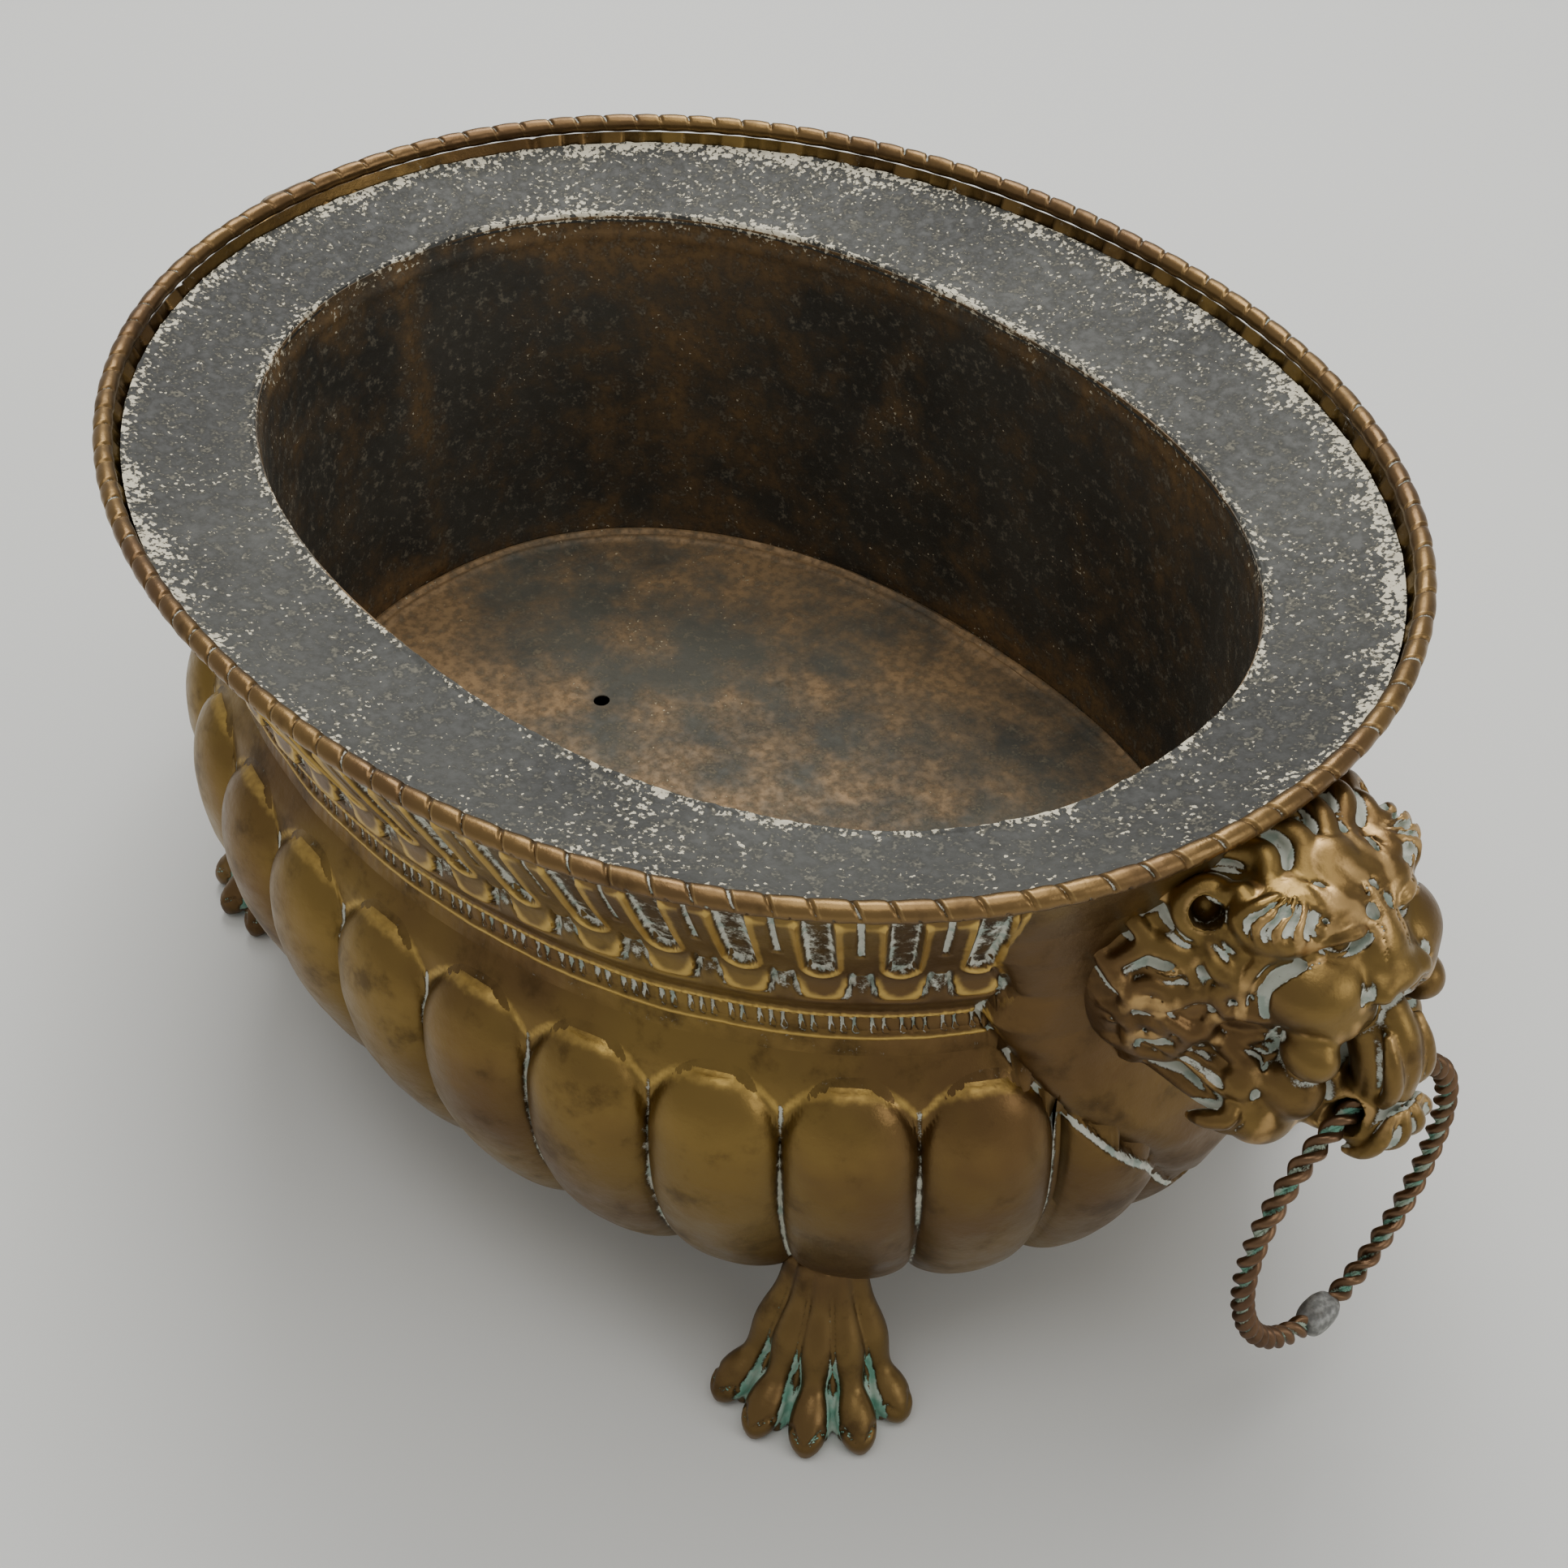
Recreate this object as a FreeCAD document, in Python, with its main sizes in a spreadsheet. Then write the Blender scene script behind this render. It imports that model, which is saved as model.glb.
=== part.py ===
"""Oval footed planter: an embossed brass pot on four paws, with a lift-out zinc liner and
two twisted ring handles that hang from lion masks.

Frame: millimetres, +Z up, origin on the floor under the middle of the oval.  +X runs along the
long axis towards the right mask, -Y is the front.

The oval is drawn with four tangent arcs.  Each wall is one section, given as distances inwards
from the rim line and heights above the floor, turned about the centres of those arcs.
"""
import FreeCAD, Part
import Sketcher
import math
import os

DOC = FreeCAD.newDocument("planter")
V = FreeCAD.Vector
UP = V(0, 0, 1)
SEAM_TURN = FreeCAD.Rotation(UP, 27)  # keeps the seams of round faces off the planes of symmetry
FORWARD = FreeCAD.Rotation(UP, V(1, 0, 0)) * SEAM_TURN
SIDEWAYS = FreeCAD.Rotation(UP, V(0, 1, 0)) * SEAM_TURN

# ---------------------------------------------------------------------------------------------
# Driving dimensions
# ---------------------------------------------------------------------------------------------
DIMENSIONS = {
    # rim line of the oval, at the middle of the rolled bead
    "rim_half_length": 220.0,
    "rim_half_width": 173.3,
    "rim_height": 234.0,
    "end_centre": 62.7,
    "sheet": 1.0,
    "bead_radius": 3.2,
    "wire_radius": 1.6,
    "bead_flat": 3.0,
    # the pot's section: distance inwards from the rim line, and height
    "cove_in": 5.0,
    "cove_height": 222.0,
    "arcade_in": 17.0,
    "arcade_height": 196.0,
    "fillet_in": 25.0,
    "fillet_height": 184.0,
    "border_top_height": 169.0,
    "border_proud": 1.2,
    "border_height": 160.0,
    "neck_in": 27.0,
    "neck_height": 155.0,
    "belly_top_in": 21.0,
    "belly_top_height": 137.0,
    "belly_in": 15.0,
    "belly_height": 108.0,
    "belly_low_in": 19.0,
    "belly_low_height": 76.0,
    "turn_in": 31.0,
    "turn_height": 49.0,
    "foot_in": 50.0,
    "foot_height": 30.0,
    "bottom_in": 57.0,
    "base_thick": 1.5,
    "core_in": 90.0,
    "core_margin": 10.0,
    # gadroon lobes
    "lobe_in": 3.4,
    "lobe_low_height": 66.0,
    "lobe_high_height": 130.0,
    "lobe_radius": 16.2,
    "seam_angle": 34.1,
    # zinc liner
    "liner_half_length": 178.0,
    "liner_half_width": 122.5,
    "liner_end_centre": 68.0,
    "liner_sheet": 0.9,
    "liner_bottom_height": 80.0,
    "flange_low_height": 219.6,
    "flange_rise": 8.6,
    "flange_in": 4.6,
    "drain_radius": 3.0,
    "drain_left": 79.0,
    "drain_front": 1.0,
    # ring handles
    "ring_half_width": 42.5,
    "ring_half_drop": 50.4,
    "ring_end_centre": 16.0,
    "ring_rope_radius": 3.2,
    "ring_place": 259.6,
    "ring_pivot_height": 154.0,
    "joint_half_length": 8.5,
    "joint_half_width": 5.2,
    # lion masks
    "mask_wall": 3.0,
    "mane_back": 196.0,
    "mane_height": 183.5,
    "mane_back_radius": 46.0,
    "mane_front_radius": 35.0,
    "mane_depth": 38.0,
    "face_place": 226.0,
    "face_height": 191.0,
    "face_radius": 30.0,
    "brow_place": 236.0,
    "brow_height": 216.0,
    "brow_length": 34.0,
    "brow_radius": 11.5,
    "cheek_place": 243.0,
    "cheek_spread": 12.0,
    "cheek_height": 185.0,
    "cheek_radius": 18.0,
    "nose_place": 253.0,
    "nose_height": 200.0,
    "nose_radius": 11.0,
    "jaw_place": 226.0,
    "jaw_height": 155.0,
    "jaw_length": 34.0,
    "jaw_radius": 14.5,
    "mouth_radius": 9.0,
    "mouth_half_width": 22.0,
    "swing_radius": 26.0,
    "boss_spread": 30.0,
    "boss_radius": 4.0,
    "stud_radius": 2.0,
    "stud_inner": 184.5,
    "nut_radius": 4.2,
    "nut_thick": 3.0,
    "nut_outer": 189.3,
    # paws
    "paw_x": 146.0,
    "paw_y": 100.0,
    "paw_angle": 46.0,
    "paw_foot_radius": 27.0,
    "paw_top_radius": 15.0,
    "paw_height": 66.0,
    "paw_wall": 4.0,
    "paw_tilt": 13.0,
    "paw_sink": 8.0,
    "toe_radius": 7.5,
    "toe_height": 6.5,
    "toe_spread": 25.0,
    "toe_step": 30.0,
}

SHEET = DOC.addObject("Spreadsheet::Sheet", "dims")
for row, (alias, value) in enumerate(DIMENSIONS.items(), start=1):
    SHEET.set(f"A{row}", alias.replace("_", " "))
    SHEET.set(f"B{row}", str(value))
    SHEET.setAlias(f"B{row}", alias)
DOC.recompute()


def size(alias):
    """The present value of one driving dimension."""
    return float(getattr(SHEET, alias))


def side_centre(half_length, half_width, end_centre):
    """How far the side arcs' centres lie past the middle, so that they meet the end arcs."""
    spare = half_length - half_width
    return spare * (2 * end_centre - spare) / (2 * (end_centre - spare))


# The same relation as a sheet formula, for the rim and for the liner.
RIM_SPARE = "(dims.rim_half_length - dims.rim_half_width)"
RIM_SIDE = (f"({RIM_SPARE} * (2 * dims.end_centre - {RIM_SPARE})"
            f" / (2 * (dims.end_centre - {RIM_SPARE})))")
LINER_SPARE = "(dims.liner_half_length - dims.liner_half_width)"
LINER_SIDE = (f"({LINER_SPARE} * (2 * dims.liner_end_centre - {LINER_SPARE})"
              f" / (2 * (dims.liner_end_centre - {LINER_SPARE})))")
RING_SPARE = "(dims.ring_half_drop - dims.ring_half_width)"
RING_SIDE = (f"({RING_SPARE} * (2 * dims.ring_end_centre - {RING_SPARE})"
             f" / (2 * (dims.ring_end_centre - {RING_SPARE})))")


class Oval:
    """Four tangent arcs: two at the ends of the long axis and two along the sides."""

    def __init__(self, half_length, half_width, end_centre, side_formula):
        self.length_text, self.width_text = f"dims.{half_length}", f"dims.{half_width}"
        self.end_text, self.side_text = f"dims.{end_centre}", side_formula
        self.end = size(end_centre)
        self.side = side_centre(size(half_length), size(half_width), self.end)
        self.join = math.degrees(math.atan2(self.side, self.end))
        self.end_radius_text = f"({self.length_text} - {self.end_text})"
        self.side_radius_text = f"({self.width_text} + {self.side_text})"

    def arcs(self):
        """(name, centre x text, centre y text, radius text, first angle, sweep) of each arc."""
        end, side, join = self.end_text, self.side_text, self.join
        return {
            "right": (end, "0", self.end_radius_text, -join, 2 * join),
            "rear": ("0", f"-1 * {side}", self.side_radius_text, join, 180 - 2 * join),
            "left": (f"-1 * {end}", "0", self.end_radius_text, 180 - join, 2 * join),
            "front": ("0", side, self.side_radius_text, 180 + join, 180 - 2 * join),
        }


RIM = Oval("rim_half_length", "rim_half_width", "end_centre", RIM_SIDE)
LINER = Oval("liner_half_length", "liner_half_width", "liner_end_centre", LINER_SIDE)
RING = Oval("ring_half_drop", "ring_half_width", "ring_end_centre", RING_SIDE)


# ---------------------------------------------------------------------------------------------
# Helpers
# ---------------------------------------------------------------------------------------------
def feature(kind, name, texts=None, **values):
    """A document object with plain property values and sheet-bound ones."""
    thing = DOC.addObject(kind, name)
    for key, value in values.items():
        setattr(thing, key, value)
    for key, text in (texts or {}).items():
        thing.setExpression(key, text)
    return thing


def evaluate(text):
    """The present value of a sheet formula, for a sketch's starting shape."""
    return float(SHEET.evalExpression(text))


def closed_sketch(name, corners, placement=None, body=None, plane="XY_Plane"):
    """A closed polygon whose corners are (x text, y text), each bound to the sheet."""
    if body is None:
        sketch = DOC.addObject("Sketcher::SketchObject", name)
    else:
        sketch = body.newObject("Sketcher::SketchObject", name)
        support = next(f for f in body.Origin.OriginFeatures if f.Role == plane)
        sketch.AttachmentSupport = [(support, "")]
        sketch.MapMode = "FlatFace"
    if placement is not None:
        sketch.Placement = placement
    points = [V(evaluate(x), evaluate(y), 0) for x, y in corners]
    count = len(points)
    for i in range(count):
        sketch.addGeometry(Part.LineSegment(points[i], points[(i + 1) % count]), False)
    for i in range(count):
        sketch.addConstraint(Sketcher.Constraint("Coincident", i, 2, (i + 1) % count, 1))
    for i, (x, y) in enumerate(corners):
        for kind, text, value in (("DistanceX", x, points[i].x), ("DistanceY", y, points[i].y)):
            index = sketch.addConstraint(Sketcher.Constraint(kind, -1, 1, i, 1, value))
            sketch.setExpression(f"Constraints[{index}]", text)
    return sketch


def turned(name, oval, arc, section, first=None, sweep=None):
    """A section turned about one arc's centre.  The section is (inwards text, height text)."""
    x_text, y_text, radius_text, start, span = oval.arcs()[arc]
    first = start if first is None else first
    sweep = span if sweep is None else sweep
    turn = FreeCAD.Rotation(UP, first) * FreeCAD.Rotation(V(1, 0, 0), 90)
    corners = [(f"{radius_text} - ({inwards})", height) for inwards, height in section]
    sketch = closed_sketch(f"{name}_section", corners, FreeCAD.Placement(V(), turn))
    sketch.setExpression("Placement.Base.x", x_text)
    sketch.setExpression("Placement.Base.y", y_text)
    solid = feature("Part::Revolution", name, {"Base.x": x_text, "Base.y": y_text},
                    Source=sketch, Axis=UP, Angle=sweep, Solid=True)
    return solid


def fused(name, parts):
    return feature("Part::MultiFuse", name, Shapes=parts, Refine=False) if len(parts) > 1 else parts[0]


def cut(name, base, tool):
    return feature("Part::Cut", name, Base=base, Tool=tool, Refine=False)


def ellipsoid(name, centre, radii, turn=0.0):
    """An ellipsoid from (x, y, z) texts of its centre and of its half sizes."""
    solid = feature("Part::Ellipsoid", name,
                    {"Radius2": radii[0], "Radius3": radii[1], "Radius1": radii[2],
                     "Placement.Base.x": centre[0], "Placement.Base.y": centre[1],
                     "Placement.Base.z": centre[2]}, Angle1=-90, Angle2=90, Angle3=360)
    solid.Placement.Rotation = FreeCAD.Rotation(UP, turn)
    return solid


def placed(solid, base, rotation):
    """Put a solid's base at a point of three texts, turned by a fixed rotation."""
    for axis, text in zip("xyz", base):
        solid.setExpression(f"Placement.Base.{axis}", text)
    solid.Placement.Rotation = rotation
    return solid


def cylinder(name, radius, length, base, rotation):
    """A cylinder that stands on its base point, along the rotation's own Z."""
    return placed(feature("Part::Cylinder", name, {"Radius": radius, "Height": length}), base, rotation)


def sphere(name, radius, centre, rotation=SEAM_TURN):
    return placed(feature("Part::Sphere", name, {"Radius": radius}), centre, rotation)


def capsule(name, radius, length, base, rotation):
    """A cylinder with a round cap at each end; the length is between the caps' centres."""
    along = rotation.multVec(UP)
    top = [f"{text} + {share} * ({length})" for text, share in zip(base, along)]
    return fused(name, [cylinder(f"{name}_side", radius, length, base, rotation),
                        sphere(f"{name}_low", radius, base, rotation),
                        sphere(f"{name}_high", radius, top, rotation)])


# ---------------------------------------------------------------------------------------------
# Sections of the pot
# ---------------------------------------------------------------------------------------------
def outer_line():
    """The outside of the sheet from the rim down, as (inwards, height) texts."""
    names = ["cove", "arcade", "fillet"]
    line = [("0", "dims.rim_height - dims.bead_flat")]
    line += [(f"dims.{n}_in", f"dims.{n}_height") for n in names]
    line += [("dims.fillet_in - dims.border_proud", "dims.border_top_height"),
             ("dims.fillet_in - dims.border_proud", "dims.border_height")]
    names = ["neck", "belly_top", "belly", "belly_low", "turn", "foot"]
    line += [(f"dims.{n}_in", f"dims.{n}_height") for n in names]
    line += [("dims.bottom_in", "dims.foot_height")]
    return line


def inner_line():
    """The inside of the sheet, one sheet thickness in, and up as well where it turns under."""
    line = []
    low = {"dims.turn_height", "dims.foot_height", "dims.belly_low_height"}
    for inwards, height in outer_line():
        lift = " + dims.sheet" if height in low else ""
        shift = "" if inwards == "dims.bottom_in" else " + dims.sheet"
        line.append((inwards + shift, height + lift))
    return line


def filled_section():
    """Everything inside the outside line, out to a line well inside the wall."""
    back = "dims.core_in - dims.core_margin"
    outer = outer_line()
    return outer + [(back, outer[-1][1]), (back, outer[0][1])]


def core_section():
    """Everything inside the sheet, a little deeper and taller than the filled section."""
    top = "dims.rim_height + dims.bead_radius"
    low = "dims.foot_height - dims.sheet"
    inner = inner_line()
    return ([(inner[0][0], top)] + inner + [("dims.bottom_in", low), ("dims.core_in", low),
                                            ("dims.core_in", top)])


def lobes(name, oval, arc, first, sweep, count, thinner):
    """Equal round-ended gadroon lobes along part of an arc, or the hollows behind them."""
    x_text, y_text, radius_text, _, _ = oval.arcs()[arc]
    less = " - dims.sheet" if thinner else ""
    reach = f"({radius_text} - dims.lobe_in - dims.lobe_radius)"
    made = []
    for i in range(count):
        angle = first + sweep * (i + 0.5) / count
        base = (f"{x_text} + {reach} * cos({angle} deg)",
                f"{y_text} + {reach} * sin({angle} deg)", "dims.lobe_low_height")
        made.append(capsule(f"{name}_{i + 1}", f"dims.lobe_radius{less}",
                            "dims.lobe_high_height - dims.lobe_low_height", base,
                            FreeCAD.Rotation(UP, angle + 180)))
    return made


def wall(name, spans, holes=()):
    """An embossed wall over some arc spans: (arc, first angle, sweep, lobe count)."""
    fillings, cores, bulges, hollows = [], [], [], []
    for i, (arc, first, sweep, count) in enumerate(spans):
        tag = f"{name}_{i}"
        fillings.append(turned(f"{tag}_filling", RIM, arc, filled_section(), first, sweep))
        cores.append(turned(f"{tag}_core", RIM, arc, core_section(), first, sweep))
        bulges += lobes(f"{tag}_bulge", RIM, arc, first, sweep, count, False)
        hollows += lobes(f"{tag}_hollow", RIM, arc, first, sweep, count, True)
    outside = fused(f"{name}_outside", fillings + bulges)
    inside = fused(f"{name}_inside", cores + hollows + list(holes))
    return outside, cut(name, outside, inside)


def mirrored(name, source, normal):
    return feature("Part::Mirroring", name, Source=source, Normal=normal)


# ---------------------------------------------------------------------------------------------
# The pot
# ---------------------------------------------------------------------------------------------
END_LOBES = 5
SHOULDER_LOBES = 2
SIDE_LOBES = 7
SEAM = size("seam_angle")
SHOULDER = RIM.join - SEAM


def front_panel():
    spans = [("left", 180 + SEAM, SHOULDER, SHOULDER_LOBES),
             ("front", 180 + RIM.join, 180 - 2 * RIM.join, SIDE_LOBES),
             ("right", -RIM.join, SHOULDER, SHOULDER_LOBES)]
    return wall("front_panel", spans)


def stud_holes():
    """The two holes behind the right mask that its studs pass through."""
    made = []
    for side in (-1, 1):
        base = ("dims.stud_inner", f"{side} * dims.boss_spread", "dims.mane_height")
        made.append(cylinder(f"stud_hole_{side + 2}", "dims.stud_radius + 0.2",
                             "dims.rim_half_length - dims.stud_inner", base, FORWARD))
    return made


def right_end_panel():
    spans = [("right", -SEAM, 2 * SEAM, END_LOBES)]
    return wall("right_end_panel", spans, stud_holes())


def all_round(name, oval, section):
    """A section turned about all four arcs, in one solid."""
    return fused(name, [turned(f"{name}_{arc}", oval, arc, section) for arc in oval.arcs()])


def round_rod(name, oval, radius, flat=None):
    """A rod of round section along the rim line, with a flat on its underside if one is given."""
    pieces = []
    for arc, (x_text, y_text, radius_text, first, sweep) in oval.arcs().items():
        ring = feature("Part::Torus", f"{name}_{arc}",
                       {"Radius1": radius_text, "Radius2": radius, "Placement.Base.x": x_text,
                        "Placement.Base.y": y_text, "Placement.Base.z": "dims.rim_height"},
                       Angle1=-180, Angle2=180, Angle3=sweep)
        ring.Placement.Rotation = FreeCAD.Rotation(UP, first)
        pieces.append(ring)
    rod = fused(f"{name}_round", pieces)
    return rod if flat is None else cut(name, rod, flat)


def rim_pieces():
    """The rolled bead and the wire that it is rolled around."""
    reach = "2 * dims.bead_radius"
    section = [(f"-1 * {reach}", f"dims.rim_height - {reach}"), (reach, f"dims.rim_height - {reach}"),
               (reach, "dims.rim_height - dims.bead_flat"),
               (f"-1 * {reach}", "dims.rim_height - dims.bead_flat")]
    below = all_round("bead_trim", RIM, section)
    tube = round_rod("bead_tube", RIM, "dims.bead_radius", below)
    bore = round_rod("bead_bore", RIM, "dims.wire_radius + 0.02")
    return cut("rim_bead", tube, bore), round_rod("rim_wire", RIM, "dims.wire_radius")


def oval_corners(oval, inwards):
    """Where the four arcs meet, on a line drawn inwards from the oval, and each arc's middle."""
    points = []
    for x_text, y_text, radius_text, first, sweep in oval.arcs().values():
        radius = evaluate(radius_text) - inwards
        centre = V(evaluate(x_text), evaluate(y_text), 0)
        for share in (0.0, 0.5, 1.0):
            angle = math.radians(first + sweep * share)
            points.append(centre + V(radius * math.cos(angle), radius * math.sin(angle), 0))
    return points


def oval_sketch(name, oval, inwards_text, height_text="0", body=None):
    """An oval drawn with arcs; each arc's centre and radius are bound to the sheet."""
    if body is None:
        sketch = DOC.addObject("Sketcher::SketchObject", name)
        sketch.setExpression("Placement.Base.z", height_text)
    else:
        sketch = body.newObject("Sketcher::SketchObject", name)
        plane = next(f for f in body.Origin.OriginFeatures if f.Role == "XY_Plane")
        sketch.AttachmentSupport = [(plane, "")]
        sketch.MapMode = "FlatFace"
        sketch.setExpression("AttachmentOffset.Base.z", height_text)
    points = oval_corners(oval, evaluate(inwards_text))
    for i in range(4):
        sketch.addGeometry(Part.Arc(*points[3 * i:3 * i + 3]), False)
    for i in range(4):
        sketch.addConstraint(Sketcher.Constraint("Tangent", i, 2, (i + 1) % 4, 1))
    for i, (x_text, y_text, radius_text, _, _) in enumerate(oval.arcs().values()):
        for kind, axis, text in (("DistanceX", -2, x_text), ("DistanceY", -1, y_text)):
            value = evaluate(text)
            if i == 3 and kind == "DistanceX":
                continue  # tangency to both ends already centres the last arc
            if abs(value) < 1e-6:
                sketch.addConstraint(Sketcher.Constraint("PointOnObject", i, 3, axis))
                continue
            index = sketch.addConstraint(Sketcher.Constraint(kind, -1, 1, i, 3, value))
            sketch.setExpression(f"Constraints[{index}]", text)
    radius_text = oval.arcs()["right"][2]
    radius = evaluate(radius_text) - evaluate(inwards_text)
    index = sketch.addConstraint(Sketcher.Constraint("Radius", 0, radius))
    sketch.setExpression(f"Constraints[{index}]", f"{radius_text} - ({inwards_text})")
    return sketch


def base_plate():
    """The flat bottom, which lies inside on the turned-in edge of the panels."""
    body = DOC.addObject("PartDesign::Body", "base_plate")
    outline = oval_sketch("base_outline", RIM, "dims.foot_in + 3 * dims.sheet",
                          "dims.foot_height + dims.sheet", body)
    pad = body.newObject("PartDesign::Pad", "base_pad")
    pad.Profile = outline
    pad.setExpression("Length", "dims.base_thick")
    return body


# ---------------------------------------------------------------------------------------------
# The liner
# ---------------------------------------------------------------------------------------------
def liner_wall():
    section = [("0", "dims.liner_bottom_height"), ("-1 * dims.liner_sheet", "dims.liner_bottom_height"),
               ("-1 * dims.liner_sheet", "dims.flange_low_height"), ("0", "dims.flange_low_height")]
    return all_round("liner_wall", LINER, section)


def liner_bottom():
    """A flat oval with one drain hole."""
    body = DOC.addObject("PartDesign::Body", "liner_bottom")
    outline = oval_sketch("liner_outline", LINER, "-1 * dims.liner_sheet",
                          "dims.liner_bottom_height - dims.liner_sheet", body)
    pad = body.newObject("PartDesign::Pad", "liner_pad")
    pad.Profile = outline
    pad.setExpression("Length", "dims.liner_sheet")
    spot = body.newObject("Sketcher::SketchObject", "drain_outline")
    plane = next(f for f in body.Origin.OriginFeatures if f.Role == "XY_Plane")
    spot.AttachmentSupport = [(plane, "")]
    spot.MapMode = "FlatFace"
    left, front, radius = -size("drain_left"), -size("drain_front"), size("drain_radius")
    spot.addGeometry(Part.Circle(V(left, front, 0), UP, radius), False)
    for kind, alias, value in (("DistanceX", "drain_left", left), ("DistanceY", "drain_front", front)):
        index = spot.addConstraint(Sketcher.Constraint(kind, -1, 1, 0, 3, value))
        spot.setExpression(f"Constraints[{index}]", f"-1 * dims.{alias}")
    index = spot.addConstraint(Sketcher.Constraint("Radius", 0, radius))
    spot.setExpression(f"Constraints[{index}]", "dims.drain_radius")
    drain = body.newObject("PartDesign::Pocket", "drain")
    drain.Profile = spot
    drain.Type = "ThroughAll"
    drain.Reversed = True
    return body


def liner_flange():
    """A shallow funnel from the rim down to the top of the liner's wall."""
    funnels = []
    for i, lift in enumerate(("0", "dims.liner_sheet")):
        low = oval_sketch(f"flange_low_{i}", LINER, "0", f"dims.flange_low_height + {lift}")
        high = oval_sketch(f"flange_high_{i}", RIM, "dims.flange_in",
                           f"dims.flange_low_height + dims.flange_rise + {lift}")
        funnels.append(feature("Part::Loft", f"flange_funnel_{i}", Sections=[low, high],
                               Solid=True, Ruled=True))
    band = cut("flange_band", *funnels)
    mouth = oval_sketch("flange_mouth", LINER, "0", "dims.flange_low_height - dims.bead_radius")
    plug = feature("Part::Extrusion", "flange_plug", {"LengthFwd": "4 * dims.bead_radius"},
                   Base=mouth, DirMode="Custom", Dir=UP, Solid=True)
    return cut("liner_flange", band, plug)


# ---------------------------------------------------------------------------------------------
# Ring handles
# ---------------------------------------------------------------------------------------------
def right_ring():
    """A rod bent into an upright oval, hanging from its topmost point in the mask's mouth."""
    pieces = []
    for arc, (along, across, radius_text, first, sweep) in RING.arcs().items():
        rod = feature("Part::Torus", f"ring_{arc}",
                      {"Radius1": radius_text, "Radius2": "dims.ring_rope_radius",
                       "Placement.Base.x": "dims.ring_place", "Placement.Base.y": across,
                       "Placement.Base.z": f"dims.ring_pivot_height - dims.ring_half_drop + {along}"},
                      Angle1=-180, Angle2=180, Angle3=sweep)
        upright = FreeCAD.Rotation(V(0, 0, 1), V(0, 1, 0), V(-1, 0, 0), "XYZ")
        rod.Placement.Rotation = upright * FreeCAD.Rotation(UP, first)
        pieces.append(rod)
    return fused("right_ring", pieces)


def right_ring_joint(ring):
    """The lump of solder that closes the ring at its foot."""
    low = "dims.ring_pivot_height - 2 * dims.ring_half_drop"
    lump = ellipsoid("ring_lump", ("dims.ring_place", "0", low),
                     ("dims.joint_half_width", "dims.joint_half_length", "dims.joint_half_width"))
    return cut("right_ring_joint", lump, ring)


# ---------------------------------------------------------------------------------------------
# Lion masks
# ---------------------------------------------------------------------------------------------
def head_masses():
    """The masses of the head: mane, face, brow, two cheeks, nose and lower jaw."""
    mane = placed(feature("Part::Cone", "mane", {"Radius1": "dims.mane_back_radius",
                                                 "Radius2": "dims.mane_front_radius",
                                                 "Height": "dims.mane_depth"}),
                  ("dims.mane_back", "0", "dims.mane_height"), FORWARD)
    brow = capsule("brow", "dims.brow_radius", "dims.brow_length",
                   ("dims.brow_place", "-0.5 * dims.brow_length", "dims.brow_height"), SIDEWAYS)
    jaw = capsule("jaw", "dims.jaw_radius", "dims.jaw_length",
                  ("dims.jaw_place", "0", "dims.jaw_height"), FORWARD)
    made = [mane, brow, jaw,
            sphere("face", "dims.face_radius", ("dims.face_place", "0", "dims.face_height")),
            sphere("nose", "dims.nose_radius", ("dims.nose_place", "0", "dims.nose_height"))]
    for side in (-1, 1):
        centre = ("dims.cheek_place", f"{side} * dims.cheek_spread", "dims.cheek_height")
        made.append(sphere(f"cheek_{side + 2}", "dims.cheek_radius", centre))
    return fused("head_masses", made)


def head_hollow():
    """The hollow in the casting's back: a cone inside the mane and a ball inside the face."""
    mane = placed(feature("Part::Cone", "mane_hollow",
                          {"Radius1": "dims.mane_back_radius - dims.mask_wall",
                           "Radius2": "dims.mane_front_radius - dims.mask_wall",
                           "Height": "dims.mane_depth - dims.mask_wall"}),
                  ("dims.mane_back", "0", "dims.mane_height"), FORWARD)
    face = sphere("face_hollow", "dims.face_radius - dims.mask_wall",
                  ("dims.face_place", "0", "dims.face_height"))
    return fused("head_hollow", [mane, face])


def mouth_room():
    """Clearance for the ring: a bore across the mouth, and a wide slot each side of the jaw."""
    rooms = [cylinder("mouth", "dims.mouth_radius", "2 * dims.mouth_half_width",
                      ("dims.ring_place", "-1 * dims.mouth_half_width", "dims.ring_pivot_height"),
                      SIDEWAYS)]
    for side in (-1, 1):
        base = ("dims.ring_place", f"{side} * (dims.jaw_radius + 1)", "dims.ring_pivot_height")
        rooms.append(cylinder(f"swing_room_{side + 2}", "dims.swing_radius", "dims.ring_half_width",
                              base, FreeCAD.Rotation(UP, V(0, side, 0))))
    return fused("mouth_room", rooms)


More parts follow.
